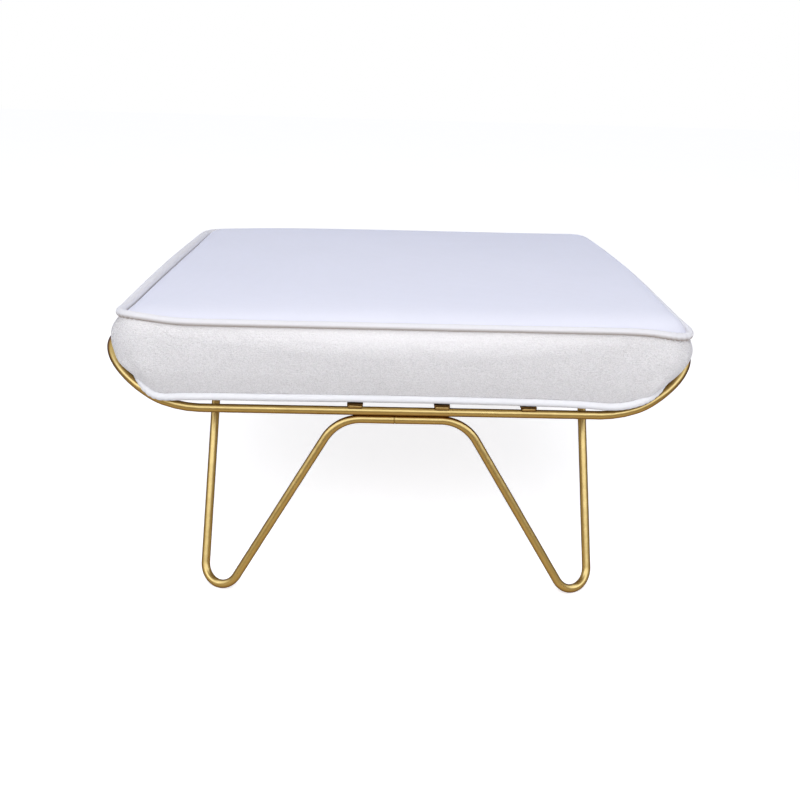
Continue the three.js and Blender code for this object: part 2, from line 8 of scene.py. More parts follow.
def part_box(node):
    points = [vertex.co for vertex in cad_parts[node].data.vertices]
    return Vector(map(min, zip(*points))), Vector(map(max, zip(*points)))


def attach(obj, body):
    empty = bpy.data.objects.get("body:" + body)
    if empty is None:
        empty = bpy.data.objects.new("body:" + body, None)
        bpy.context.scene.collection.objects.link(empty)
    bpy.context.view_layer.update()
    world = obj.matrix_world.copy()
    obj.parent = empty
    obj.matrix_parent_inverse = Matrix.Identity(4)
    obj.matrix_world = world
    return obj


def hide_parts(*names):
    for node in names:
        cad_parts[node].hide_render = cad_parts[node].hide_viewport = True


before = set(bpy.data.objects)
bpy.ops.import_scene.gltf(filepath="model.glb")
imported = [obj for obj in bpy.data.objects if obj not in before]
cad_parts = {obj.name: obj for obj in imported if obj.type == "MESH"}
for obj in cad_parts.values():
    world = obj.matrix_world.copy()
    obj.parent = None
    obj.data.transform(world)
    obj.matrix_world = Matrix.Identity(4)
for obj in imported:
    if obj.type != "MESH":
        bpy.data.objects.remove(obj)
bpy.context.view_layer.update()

# Rod frame
ROD_RADIUS = 0.00555
RAIL_HEIGHT = 0.2355
RING_HALF_DEPTH = 0.26
RING_HALF_LENGTH = 0.3975
RING_CORNER = 0.099
FOLD_START = 0.2515
FOLD_RADIUS = 0.1265
FOLD_ANGLE = radians(31)
RUN_CORNER_X = 0.081
RUN_BEND = 0.054
CROSS_RUN_HALF = 0.251
CROSS_RUN_INSET = 0.0945
CROSS_RUN_BEND = 0.03
FOOT_LEAN = 0.006
FOOT_SPLAY = 0.076
FOOT_BEND = 0.027
FOOT_FLAT_DEPTH = 0.0005
FOOT_ROUNDS = 40
FOOT_STEPS = 24
GAP = 0.0003
ROD_STEP = 0.0025
ROD_SIDES = 24
RING_CORNER_POINTS = 60
RING_FILL = 40
# Unevenness of the rods: height, size and seed
ROD_WOBBLE = ((0.00011, 0.018, 3.1), (0.00004, 0.006, 1.1))
# Butt seams: where the run has its own, its slant round the rod and from which turn, how far and how finely
# the rod is divided there, and the ridge and the groove as height and half width
RUN_SEAM_X = -0.0075
SEAM_SLANT = 0.0012
SEAM_TURN = 0.6
SEAM_REACH = 3 * ROD_STEP
SEAM_DIVISIONS = 8
SEAM_RIDGE = (0.00030, 0.0028)
SEAM_GROOVE = (0.0010, 0.0006)
# Weld beads: steps, sides, steps in a tapered end, lumps as share, size and seed, ripples as share and pace
BEAD_STEPS = 24
BEAD_SIDES = 12
BEAD_TAPER = 3
BEAD_LUMPS = (0.35, 0.004, 5.0)
BEAD_RIPPLES = (0.14, 2.1)

# Cushion, with the sizes that its solids have
PIPING_RADIUS = 0.005
SIDE_BOW = 0.006
BASE_INSET = 0.0475
BASE_DRAW = 0.011
BASE_CORNER = 0.038
TOP_CORNER = 0.036
SEAM_RISE = 0.098
BULGE = 0.009
SLACK_SHARE = 0.32
BULGE_PEAK_SHARE = 0.42
CLOTH_THICKNESS = 0.0014
TOP_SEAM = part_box("piping_top")
BASE_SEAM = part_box("piping_bottom")
TOP_SEAM_HEIGHT = (TOP_SEAM[0].z + TOP_SEAM[1].z) / 2
TOP_HALF_WIDTH = TOP_SEAM[1].x - PIPING_RADIUS - SIDE_BOW
TOP_HALF_DEPTH = TOP_SEAM[1].y - PIPING_RADIUS
BASE_HALF_LENGTH = RING_HALF_LENGTH - BASE_INSET
BASE_HALF_DEPTH = BASE_SEAM[1].y - PIPING_RADIUS
BASE_PIPING_LIFT = BASE_SEAM[0].z + PIPING_RADIUS - RAIL_HEIGHT
TOP_HALF_SIZES = (TOP_HALF_WIDTH, TOP_HALF_DEPTH)
BASE_HALF_SIZES = (BASE_HALF_LENGTH, BASE_HALF_DEPTH)

# How finely the seams are divided, and how many of those steps lie between a corner and the zip
LONG_STEPS = 88
SHORT_STEPS = 64
CORNER_STEPS = 12
BAND_ROWS = 16
ZIP_MARGIN = 6


def new_object(name, vertices, faces, material):
    mesh = bpy.data.meshes.new(name)
    mesh.from_pydata([tuple(v) for v in vertices], [], [tuple(f) for f in faces])
    mesh.validate()
    mesh.polygons.foreach_set("use_smooth", [True] * len(mesh.polygons))
    mesh.materials.append(material)
    piece = bpy.data.objects.new(name, mesh)
    bpy.context.scene.collection.objects.link(piece)
    return piece


def points_of(mesh):
    points = np.zeros(len(mesh.vertices) * 3)
    mesh.vertices.foreach_get("co", points)
    return points.reshape(-1, 3)


def set_points(mesh, points):
    mesh.vertices.foreach_set("co", points.ravel())


def declare(piece, body, node):
    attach(piece, body)
    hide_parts(node)


def soft(piece, node):
    declare(piece, "cushion", node)


def cover_piece(name, points, faces, finish, node):
    """A piece of the cover, divided once more and as thick as its cloth towards the inside."""
    piece = new_object(name, points.reshape(-1, 3), faces, finish)
    smoother = piece.modifiers.new("finer", "SUBSURF")
    smoother.levels = smoother.render_levels = 1
    wall = piece.modifiers.new("cloth", "SOLIDIFY")
    wall.thickness = CLOTH_THICKNESS
    wall.offset = -1
    graph = bpy.context.evaluated_depsgraph_get()
    made = bpy.data.meshes.new_from_object(piece.evaluated_get(graph), depsgraph=graph)
    made.polygons.foreach_set("use_smooth", [True] * len(made.polygons))
    piece.modifiers.clear()
    piece.data = made
    soft(piece, node)


def ripple(point, size, seed):
    """Smooth noise from about -1 to 1 at a point, with features of a given size in metres."""
    return noise.noise(Vector(point) / size + Vector((seed, seed * 1.7, -seed)))


def is_slat(node):
    return node.startswith("slat_") and "weld" not in node


# Node building
def new_material(name):
    material = bpy.data.materials.new(name)
    material.use_nodes = True
    material.node_tree.nodes.clear()
    return material, material.node_tree


def place(tree, kind, inputs=None, **settings):
    """A shader node with its settings, and with values or other nodes' sockets as inputs."""
    node = tree.nodes.new("ShaderNode" + kind)
    for name, value in settings.items():
        setattr(node, name, value)
    for name, value in (inputs or {}).items():
        feed(tree, node.inputs[name], value)
    return node


def feed(tree, socket, value):
    if isinstance(value, bpy.types.NodeSocket):
        tree.links.new(value, socket)
    else:
        socket.default_value = value


def calculate(tree, operation, *values):
    node = place(tree, "Math", operation=operation)
    for socket, value in zip(node.inputs, values):
        feed(tree, socket, value)
    return node.outputs[0]


def multiply(tree, first, second, added=0.0):
    return calculate(tree, "MULTIPLY_ADD", first, second, added)


def centred(tree, value):
    """A value from 0 to 1 as one from -0.5 to 0.5."""
    return calculate(tree, "SUBTRACT", value, 0.5)


def mix_colours(tree, share, first, second):
    node = place(tree, "Mix", {"Factor": share, "A": first, "B": second}, data_type="RGBA")
    return node.outputs["Result"]


def noise_at(tree, coordinates, size, detail=2.0, roughness=0.5):
    values = {"Vector": coordinates, "Scale": 1 / size, "Detail": detail, "Roughness": roughness}
    return place(tree, "TexNoise", values).outputs["Fac"]


def mix_shaders(tree, share, first, second):
    node = place(tree, "MixShader", {"Fac": share})
    tree.links.new(first.outputs[0], node.inputs[1])
    tree.links.new(second.outputs[0], node.inputs[2])
    return node


def kinds_of_ray(tree):
    """Two values, 1 or 0: whether a ray is from the camera, and whether it is mirrored or let through."""
    paths = place(tree, "LightPath").outputs
    mirrored = calculate(tree, "MAXIMUM", paths["Is Glossy Ray"], paths["Is Transmission Ray"])
    return paths["Is Camera Ray"], mirrored


def steepen(tree, value, start, end):
    """0 where the value is at start and 1 at end, cut off at both ends. Start may be the higher."""
    return place(tree, "MapRange", {"Value": value, "From Min": start, "From Max": end}).outputs["Result"]


def new_group(name, inputs):
    """A group that gives colour, roughness and height. Its inputs come with their usual values."""
    group = bpy.data.node_groups.new(name, "ShaderNodeTree")
    for label, value in inputs.items():
        kind = "Float" if isinstance(value, float) else "Color"
        socket = group.interface.new_socket(label, in_out="INPUT", socket_type="NodeSocket" + kind)
        socket.default_value = value
    for label, kind in (("Color", "Color"), ("Roughness", "Float"), ("Height", "Float")):
        group.interface.new_socket(label, in_out="OUTPUT", socket_type="NodeSocket" + kind)
    return group, group.nodes.new("NodeGroupInput"), group.nodes.new("NodeGroupOutput")


# Slanted pebbles in the cloth's relief: their turn, and how many fit a metre along X, Y and Z
PEBBLE_TURN = (0.0, 0.45, 0.0)
PEBBLE_SCALE = (340.0, 340.0, 800.0)
PEBBLE_SHADE = 0.35
NAP_SHADE = 0.8
THREAD_DRIFT = 0.0009
EVEN_SHADE = 0.35
# The strip under a seam where the cloth is drawn smooth and painted paler, a painted highlight: how its lower
# edge climbs away from the middle, half the height over which it fades, how much of the relief goes, and how
# much paler it is painted
STRIP_CLIMB = 0.27
STRIP_FADE = 0.014
STRIP_CALM = 0.65
STRIP_PAINTED_HIGHLIGHT = 0.10
# Dark lint and pale knots: cells in a metre, colour, share of cells left bare, and size as a share of a cell
SPECKS = (
    (26.0, (0.16, 0.14, 0.13, 1), 0.975, 0.016),
    (34.0, (0.97, 0.97, 1.0, 1), 0.94, 0.02),
)
SPECK_STRENGTH = 0.7


def woven_cloth_group():
    """Plain canvas: over and under threads across X, Y and Z, nap, pebbles, slubs, specks, soft shading from
    handling, and a strip above a given height where the cloth is drawn smooth and painted paler, a painted
    highlight."""
    usual = {"Cloth": (0.8, 0.8, 0.85, 1), "Shade": (0.7, 0.7, 0.75, 1), "Thread": 0.0006}
    usual |= {"Nap": 0.3, "Nap Size": 0.0028, "Pebble": 0.0, "Smooth And Painted Pale Above": 9.0}
    group, given, result = new_group("plain canvas", usual)
    at = place(group, "TexCoord").outputs["Object"]
    warped = place(group, "VectorMath", operation="MULTIPLY_ADD")
    drift = place(group, "TexNoise", {"Scale": 90, "Detail": 1.0, "Vector": at})
    feed(group, warped.inputs[0], drift.outputs["Color"])
    warped.inputs[1].default_value = (THREAD_DRIFT,) * 3
    feed(group, warped.inputs[2], at)
    parts = place(group, "SeparateXYZ", {"Vector": warped.outputs[0]})
    turns = calculate(group, "DIVIDE", 2 * pi, given.outputs["Thread"])
    waves = [calculate(group, "SINE", multiply(group, axis, turns)) for axis in parts.outputs]
    across = calculate(group, "ADD", calculate(group, "ADD", waves[0], waves[1]), waves[2])
    threads = multiply(group, across, 0.166, 0.5)
    fineness = calculate(group, "DIVIDE", 1.0, given.outputs["Nap Size"])
    grain = place(group, "TexNoise", {"Vector": at, "Scale": fineness, "Detail": 3.0, "Roughness": 0.6})
    slub = noise_at(group, at, 0.011, 3.0)
    slanted = place(group, "Mapping", {"Vector": at, "Rotation": PEBBLE_TURN, "Scale": PEBBLE_SCALE})
    pebble = noise_at(group, slanted.outputs["Vector"], 1.0, 1.5)
    cloud = noise_at(group, at, 0.09)
    lift = multiply(group, centred(group, grain.outputs["Fac"]), given.outputs["Nap"])
    lift = multiply(group, lift, NAP_SHADE)
    raised = multiply(group, centred(group, pebble), given.outputs["Pebble"])
    lift = multiply(group, raised, PEBBLE_SHADE, lift)
    outward = multiply(group, parts.outputs["X"], parts.outputs["X"])
    # Painted highlight: above this edge the cloth is painted paler as well as calmed
    strip_edge = multiply(group, outward, STRIP_CLIMB, given.outputs["Smooth And Painted Pale Above"])
    above = calculate(group, "SUBTRACT", parts.outputs["Z"], strip_edge)
    smooth_and_painted_pale = steepen(group, above, -STRIP_FADE, STRIP_FADE)
    calm = multiply(group, smooth_and_painted_pale, -STRIP_CALM, 1.0)
    lift = multiply(group, smooth_and_painted_pale, STRIP_PAINTED_HIGHLIGHT, multiply(group, lift, calm))
    paler = multiply(group, centred(group, slub), 0.12, lift)
    paler = multiply(group, centred(group, cloud), 0.3, paler)
    paler = multiply(group, centred(group, threads), -0.15, paler)
    shaded = calculate(group, "SUBTRACT", EVEN_SHADE, paler)
    shaded = place(group, "Clamp", {"Value": shaded}).outputs["Result"]
    mixed = mix_colours(group, shaded, given.outputs["Cloth"], given.outputs["Shade"])
    for cells, colour, share, size in SPECKS:
        specks = place(group, "TexVoronoi", {"Vector": at, "Scale": cells})
        few = place(group, "SeparateColor", {"Color": specks.outputs["Color"]}).outputs[0]
        chosen = calculate(group, "GREATER_THAN", few, share)
        near = steepen(group, specks.outputs["Distance"], size, size * 0.6)
        spot = multiply(group, chosen, near)
        mixed = mix_colours(group, multiply(group, spot, SPECK_STRENGTH), mixed, colour)
    group.links.new(mixed, result.inputs["Color"])
    rough = place(group, "MapRange", {"Value": grain.outputs["Fac"], "To Min": 0.78, "To Max": 0.95})
    group.links.new(rough.outputs["Result"], result.inputs["Roughness"])
    height = multiply(group, grain.outputs["Fac"], given.outputs["Nap"], threads)
    height = calculate(group, "ADD", multiply(group, slub, 0.6, height), raised)
    height = multiply(group, height, calm)
    group.links.new(height, result.inputs["Height"])
    return group


PIT_COLOUR = (0.14, 0.08, 0.03, 1)
PIT_STRENGTH = 0.45


def gold_coat_group():
    """Satin gold coat on bent rod: blotches, fine and long unevenness, and small dark pits."""
    usual = {"Gold": (0.7, 0.5, 0.2, 1), "Deep Gold": (0.4, 0.25, 0.08, 1), "Dull": 0.3}
    group, given, result = new_group("satin gold coat", usual)
    at = place(group, "TexCoord").outputs["Object"]
    blotch = noise_at(group, at, 0.045, 3.0, 0.6)
    fine = noise_at(group, at, 0.0022, 3.0, 0.65)
    wave = noise_at(group, at, 0.014, 1.0)
    pits = steepen(group, noise_at(group, at, 0.004, 1.0), 0.76, 0.84)
    tint = multiply(group, centred(group, blotch), 1.2, 0.25)
    tint = multiply(group, centred(group, fine), 0.5, tint)
    tint = place(group, "Clamp", {"Value": tint}).outputs["Result"]
    mixed = mix_colours(group, tint, given.outputs["Gold"], given.outputs["Deep Gold"])
    mixed = mix_colours(group, multiply(group, pits, PIT_STRENGTH), mixed, PIT_COLOUR)
    group.links.new(mixed, result.inputs["Color"])
    rough = multiply(group, fine, 0.12, given.outputs["Dull"])
    rough = multiply(group, blotch, 0.12, rough)
    group.links.new(rough, result.inputs["Roughness"])
    height = multiply(group, wave, 1.0, multiply(group, fine, 0.12))
    group.links.new(height, result.inputs["Height"])
    return group


# Painted shade: where the edge colour (a painted dark reflection on metal seen aslant), the under colour
# (painted shade where a surface faces down) and the crease colour (painted shade deep in creases) start and
# are full, by slant, normal's Z and openness
EDGE_SHADE_SLANTS = (0.2, 0.75)
UNDER_SHADE_SLANTS = (0.3, -0.75)
CREASE_SHADE_DEPTHS = (0.5, 0.1)
CREASE_SHADE_REACH = 0.006
CREASE_SHADE_STRENGTH = 0.55
COOL_CREASE_SHADE = (0.36, 0.36, 0.42, 1)
WARM_CREASE_SHADE = (0.40, 0.35, 0.34, 1)
CANVAS = woven_cloth_group()
GOLD_COAT = gold_coat_group()


def finish_material(name, group, values, bump, strength, edge=None, crease=None, under=None, **surface):
    """A material whose colour, roughness and bump come from a shared group, and the rest from the shader.
    Painted shade goes into the colour: a metal's edge colour where it is seen aslant is a painted reflection
    of dark surroundings, cloth's crease colour deep in its creases is painted shade, and rod and piping get
    their under colour, painted shade, where they face down."""
    material, tree = new_material(name)
    effect = place(tree, "Group", node_tree=group)
    for label, value in values.items():
        effect.inputs[label].default_value = value
    relief = place(tree, "Bump", {"Strength": strength, "Distance": bump, "Height": effect.outputs["Height"]})
    colour = effect.outputs["Color"]
    # Painted shade: a dark edge colour where metal is seen aslant, a painted reflection of dark surroundings
    if edge:
        slant = place(tree, "LayerWeight", {"Blend": 0.5}).outputs["Facing"]
        colour = mix_colours(tree, steepen(tree, slant, *EDGE_SHADE_SLANTS), colour, edge)
    # Painted shade: a darker under colour where the surface faces down
    if under:
        facing = place(tree, "NewGeometry").outputs["Normal"]
        height = place(tree, "SeparateXYZ", {"Vector": facing}).outputs["Z"]
        colour = mix_colours(tree, steepen(tree, height, *UNDER_SHADE_SLANTS), colour, under)
    # Painted shade: the crease colour where ambient occlusion finds the surface shut in
    if crease:
        depth = place(tree, "AmbientOcclusion", {"Distance": CREASE_SHADE_REACH}, samples=6)
        crease_shade_share = steepen(tree, depth.outputs["AO"], *CREASE_SHADE_DEPTHS)
        colour = mix_colours(tree, multiply(tree, crease_shade_share, CREASE_SHADE_STRENGTH), colour, crease)
    looks = {label.replace("_", " "): value for label, value in surface.items()}
    looks |= {"Base Color": colour, "Roughness": effect.outputs["Roughness"]}
    shader = place(tree, "BsdfPrincipled", looks | {"Normal": relief.outputs["Normal"]})
    place(tree, "OutputMaterial", {"Surface": shader.outputs["BSDF"]})
    return material


def metal(name, gold, deep_gold, dull, bump, strength, **more):
    values = {"Gold": (*gold, 1), "Deep Gold": (*deep_gold, 1), "Dull": dull}
    return finish_material(name, GOLD_COAT, values, bump, strength, Metallic=1.0, **more)


def cloth(name, plain, shade, thread, nap, nap_size, bump, strength, relief=(), **more):
    values = {"Cloth": (*plain, 1), "Shade": (*shade, 1), "Thread": thread, "Nap": nap, "Nap Size": nap_size}
    return finish_material(name, CANVAS, values | dict(relief), bump, strength, **more)


GOLD = metal(
    "satin gold rod",
    (0.61, 0.385, 0.105),
    (0.43, 0.25, 0.055),
    0.18,
    0.0006,
    0.6,
    # Painted shade: dark edge colour where the rod is seen aslant, darker under colour where it faces down
    edge=(0.09, 0.045, 0.008, 1),
    under=(0.35, 0.185, 0.038, 1),
    Specular_Tint=(0.30, 0.17, 0.06, 1),
    Coat_Weight=0.2,
    Coat_Roughness=0.3,
)
# The slats' coat is the rod's gold painted far darker: painted shade from the cushion over them, with a
# painted dark edge colour where seen aslant
GOLD_BAR_IN_PAINTED_SHADE = metal(
    "satin gold bar",
    (0.28, 0.15, 0.045),
    (0.13, 0.055, 0.018),
    0.36,
    0.0005,
    0.7,
    edge=(0.06, 0.03, 0.008, 1),
    Specular_Tint=(0.25, 0.14, 0.05, 1),
)
SHEEN = {"Sheen_Weight": 0.08, "Sheen_Roughness": 0.5, "Specular_IOR_Level": 0.3}
# The top canvas is tinted bluer than the side band: painted cool light from above; its crease colour is cool
# painted shade
TOP_CANVAS = cloth(
    "top canvas",
    (0.815, 0.82, 0.91),
    (0.73, 0.735, 0.81),
    0.0007,
    0.3,
    0.003,
    0.0002,
    0.35,
    crease=COOL_CREASE_SHADE,
    **SHEEN,
)
BAND_CANVAS = cloth(
    "side band canvas",
    (0.965, 0.945, 0.95),
    (0.77, 0.752, 0.752),
    0.0011,
    3.9,
    0.0012,
    0.00045,
    1.0,
    # Painted highlight: above the given height the band is painted paler; its crease colour is warm painted
    # shade
    relief={"Pebble": 4.2, "Smooth And Painted Pale Above": 0.322},
    crease=WARM_CREASE_SHADE,
    **SHEEN | {"Specular_IOR_Level": 0.25},
)
# The top piping is the bottom piping's cloth painted darker, a painted shaded copy; both get an under colour,
# painted shade where they face down, darker and warmer on the top piping, and warm painted crease shade
PIPING_CANVAS, BASE_PIPING_CANVAS = (
    cloth(name, plain, shade, 0.0007, 0.6, 0.003, 0.0002, 0.4, under=under, crease=WARM_CREASE_SHADE, **SHEEN)
    for name, plain, shade, under in (
        ("top piping canvas", (0.82, 0.81, 0.83), (0.74, 0.73, 0.75), (0.38, 0.32, 0.28, 1)),
        ("bottom piping canvas", (0.87, 0.87, 0.89), (0.78, 0.78, 0.80), (0.66, 0.65, 0.67, 1)),
    )
)
WELD = metal(
    "weld metal",
    (0.42, 0.235, 0.06),
    (0.17, 0.07, 0.015),
    0.28,
    0.0012,
    0.9,
    # Painted shade: a dark edge colour where the weld is seen aslant
    edge=(0.08, 0.03, 0.006, 1),
    Specular_Tint=(0.25, 0.12, 0.04, 1),
)
ZIP_TAPE, FOAM, FIBRE = (
    cloth(*look)
    for look in (
        ("zip tape", (0.84, 0.84, 0.83), (0.72, 0.72, 0.71), 0.0005, 0.3, 0.0015, 0.0002, 0.5),
        ("cut foam", (0.86, 0.75, 0.46), (0.72, 0.60, 0.33), 0.0013, 1.4, 0.0013, 0.0006, 0.8),
        ("fibre wadding", (0.88, 0.88, 0.87), (0.76, 0.76, 0.75), 0.002, 1.2, 0.004, 0.001, 0.8),
    )
)
ZIP_METAL = metal("die-cast zinc", (0.60, 0.61, 0.63), (0.42, 0.43, 0.45), 0.3, 0.0002, 0.4)


# Shapes of the frame
def on_tray(along, across, lift):
    """A place over the cradle: a flat tray with both ends folded up. Lift is square to the tray."""
    past = np.maximum(np.abs(along) - FOLD_START, 0)
    turn = np.minimum(past / FOLD_RADIUS, FOLD_ANGLE)
    straight = past - turn * FOLD_RADIUS
    inner = FOLD_RADIUS - lift
    x = np.minimum(np.abs(along), FOLD_START) + inner * np.sin(turn) + straight * np.cos(turn)
    z = RAIL_HEIGHT + FOLD_RADIUS - inner * np.cos(turn) + straight * np.sin(turn)
    return np.stack([np.sign(along) * x, across + 0 * x, z], -1)


def evenly(points, step):
    """The same closed path as points a given step apart."""
    points = np.array(points, float)
    points = np.vstack([points, points[:1]])
    lengths = np.r_[0, np.cumsum(np.linalg.norm(np.diff(points, axis=0), axis=1))]
    count = int(ceil(lengths[-1] / step))
    places = np.linspace(0, lengths[-1], count + 1)
    path = np.stack([np.interp(places, lengths, points[:, k]) for k in range(3)], -1)
    return path[:-1]


def bent_path(corners, steps=48):
    """Straight lines through corner points, each corner bent to its own radius."""
    path = []
    for i, (at, bend) in enumerate(corners):
        before, after = corners[i - 1][0], corners[(i + 1) % len(corners)][0]
        back, on = (before - at).normalized(), (after - at).normalized()
        half = back.angle(on) / 2
        centre = at + (back + on).normalized() * (bend / sin(half))
        start, end = at + back * (bend / tan(half)) - centre, at + on * (bend / tan(half)) - centre
        axis, sweep = start.cross(end).normalized(), start.angle(end)
        path += [centre + Matrix.Rotation(sweep * k / steps, 3, axis) @ start for k in range(steps + 1)]
    return path


def sections_along(path, closed):
    """Two unit directions square to the path at each point, turned as little as possible between points."""
    count = len(path)
    ahead = np.roll(path, -1, 0) - np.roll(path, 1, 0)
    if not closed:
        ahead[0], ahead[-1] = path[1] - path[0], path[-1] - path[-2]
    ahead /= np.linalg.norm(ahead, axis=1)[:, None]
    side = np.cross(ahead[0], (0, 0, 1))
    side /= np.linalg.norm(side)
    sides = [side]
    for k in range(1, count):
        side = side - ahead[k] * side.dot(ahead[k])
        side /= np.linalg.norm(side)
        sides.append(side)
    sides = np.array(sides)
    if closed:
        last = sides[-1] - ahead[0] * sides[-1].dot(ahead[0])
        twist = atan2(np.cross(last, sides[0]).dot(ahead[0]), last.dot(sides[0]))
        turns = (twist * np.arange(count) / count)[:, None]
        sides = sides * np.cos(turns) + np.cross(ahead, sides) * np.sin(turns)
    return sides, np.cross(ahead, sides)


def tube(name, path, radii, sides, material, closed=True):
    """A round tube along a path, with a radius for each point and side."""
    path = np.array(path, float)
    first, second = sections_along(path, closed)
    turns = 2 * pi * np.arange(sides) / sides
    ring = first[:, None] * np.cos(turns)[None, :, None] + second[:, None] * np.sin(turns)[None, :, None]
    vertices = (path[:, None] + radii[..., None] * ring).reshape(-1, 3)
    spans = len(path) if closed else len(path) - 1
    faces = []
    for i in range(spans):
        here, there = i * sides, ((i + 1) % len(path)) * sides
        for k in range(sides):
            faces.append((here + k, here + (k + 1) % sides, there + (k + 1) % sides, there + k))
    if not closed:
        faces.append(tuple(range(sides - 1, -1, -1)))
        faces.append(tuple((len(path) - 1) * sides + k for k in range(sides)))
    return new_object(name, vertices, faces, material)


def seat_ring():
    cx, cy = RING_HALF_LENGTH - RING_CORNER, RING_HALF_DEPTH - RING_CORNER
    flat = []
    for sx, sy, start in ((1, -1, -pi / 2), (1, 1, 0), (-1, 1, pi / 2), (-1, -1, pi)):
        for angle in np.linspace(start, start + pi / 2, RING_CORNER_POINTS):
            flat.append((sx * cx + RING_CORNER * cos(angle), sy * cy + RING_CORNER * sin(angle)))
    flat = np.array(flat + flat[:1])
    places = np.concatenate([np.linspace(a, b, RING_FILL, endpoint=False) for a, b in zip(flat, flat[1:])])
    path = evenly(on_tray(places[:, 0], places[:, 1], 0.0), ROD_STEP)
    dress_rod("seat_rod", path, "seat_ring", (0.0, RING_HALF_DEPTH))


def dress_rod(name, path, node, seam):
    """A rod with its butt seam, ground nearly flush, and the small unevenness of a coated hand-bent rod."""
    turns = 2 * pi * np.arange(ROD_SIDES) / ROD_SIDES
    fine = []
    for here, there in zip(path, np.roll(path, -1, 0)):
        close = abs(here[1] - seam[1]) < ROD_RADIUS and abs(here[0] - seam[0]) < SEAM_REACH
        divisions = range(SEAM_DIVISIONS if close else 1)
        fine += [here + (there - here) * k / SEAM_DIVISIONS for k in divisions]
    path = np.array(fine)
    radii = np.empty((len(path), ROD_SIDES))
    for i, point in enumerate(path):
        radii[i] = ROD_RADIUS + sum(height * ripple(point, size, seed) for height, size, seed in ROD_WOBBLE)
        if abs(point[1] - seam[1]) < ROD_RADIUS:
            off = point[0] - seam[0] + SEAM_SLANT * np.cos(turns + SEAM_TURN)
            ridge, groove = (tall * np.exp(-((off / half) ** 2)) for tall, half in (SEAM_RIDGE, SEAM_GROOVE))
            radii[i] += ridge - groove
    rod = tube(name, path, radii, ROD_SIDES, GOLD)
    declare(rod, "frame", node)
    return rod


def foot_corner(sign, run, cross):
    """The foot's corner point, low enough that the bend's underside, less its flat, is on the floor."""
    corner = Vector((sign * (CROSS_RUN_HALF + FOOT_LEAN), run.y - FOOT_SPLAY, 0))
    for _ in range(FOOT_ROUNDS):
        path = bent_path([(run, RUN_BEND), (corner, FOOT_BEND), (cross, CROSS_RUN_BEND)], FOOT_STEPS)
        foot = path[FOOT_STEPS + 1 : 2 * FOOT_STEPS + 2]
        corner.z += ROD_RADIUS - FOOT_FLAT_DEPTH - min(point.z for point in foot)
    return corner


def leg_loop(name, node, turned):
    run_z = RAIL_HEIGHT - 2 * ROD_RADIUS - GAP
    sides = []
    for sign in (-1, 1):
        run = Vector((sign * RUN_CORNER_X, -RING_HALF_DEPTH, run_z))
        cross = Vector((sign * CROSS_RUN_HALF, CROSS_RUN_INSET - RING_HALF_DEPTH, RAIL_HEIGHT))
        sides.append((run, cross, foot_corner(sign, run, cross)))
    (run_l, cross_l, foot_l), (run_r, cross_r, foot_r) = sides
    corners = [(run_l, RUN_BEND), (run_r, RUN_BEND), (foot_r, FOOT_BEND)]
    corners += [(cross_r, CROSS_RUN_BEND), (cross_l, CROSS_RUN_BEND), (foot_l, FOOT_BEND)]
    path = evenly(bent_path(corners), ROD_STEP) * ((-1, -1, 1) if turned else (1, 1, 1))
    seam = (-RUN_SEAM_X, RING_HALF_DEPTH) if turned else (RUN_SEAM_X, -RING_HALF_DEPTH)
    rod = dress_rod(name, path, node, seam)
    points = points_of(rod.data)
    points[:, 2] = np.maximum(points[:, 2], 0)
    set_points(rod.data, points)


def weld_beads():
    """Lumpy beads at the slats' ends and in the groove between each rail and the run under it."""
    lumpy, lump_size, seed = BEAD_LUMPS
    rippled, pace = BEAD_RIPPLES
    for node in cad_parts:
        if "weld" not in node:
            continue
        low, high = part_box(node)
        length = high.x - low.x
        y, z = (low.y + high.y) / 2, (low.z + high.z) / 2
        path = [(low.x + length * k / BEAD_STEPS, y, z) for k in range(BEAD_STEPS + 1)]
        size = 0.5 * min(high.y - low.y, high.z - low.z)
        radii = []
        for k, point in enumerate(path):
            end = min(k, BEAD_STEPS - k) / BEAD_TAPER
            lump = 1 + lumpy * ripple(point, lump_size, seed) + rippled * sin(k * pace)
            radii.append([size * lump * (0.45 + 0.55 * min(end, 1.0))] * BEAD_SIDES)
        bead = tube(node + "_bead", path, np.array(radii), BEAD_SIDES, WELD, closed=False)
        stretch = (high.z - low.z) / (high.y - low.y)
        points = points_of(bead.data)
        if stretch > 1:
            points[:, 2] = z + (points[:, 2] - z) * stretch
        else:
            points[:, 1] = y + (points[:, 1] - y) / stretch
        set_points(bead.data, points)
        declare(bead, "frame", node)


# Seams of the cushion
def rounded_outline(half_x, half_y, corner):
    """A rounded rectangle from the middle of its front left corner by way of the front: x, y and outward."""
    rows = []
    cx, cy = half_x - corner, half_y - corner

    def arc(x, y, start, first, last):
        for k in range(first, last):
            angle = start + (pi / 2) * k / CORNER_STEPS
            rows.append((x + corner * cos(angle), y + corner * sin(angle), cos(angle), sin(angle)))

    def side(x0, y0, x1, y1, out_x, out_y, steps):
        for k in range(steps):
            share = k / steps
            rows.append((x0 + (x1 - x0) * share, y0 + (y1 - y0) * share, out_x, out_y))

    half = CORNER_STEPS // 2
    arc(-cx, -cy, pi, half, CORNER_STEPS)
    side(-cx, -half_y, cx, -half_y, 0, -1, LONG_STEPS)
    arc(cx, -cy, -pi / 2, 0, CORNER_STEPS)
    side(half_x, -cy, half_x, cy, 1, 0, SHORT_STEPS)
    arc(cx, cy, 0, 0, CORNER_STEPS)
    side(cx, half_y, -cx, half_y, 0, 1, LONG_STEPS)
    arc(-cx, cy, pi / 2, 0, CORNER_STEPS)
    side(-half_x, cy, -half_x, -cy, -1, 0, SHORT_STEPS)
    arc(-cx, -cy, pi, 0, half)
    return np.array(rows)


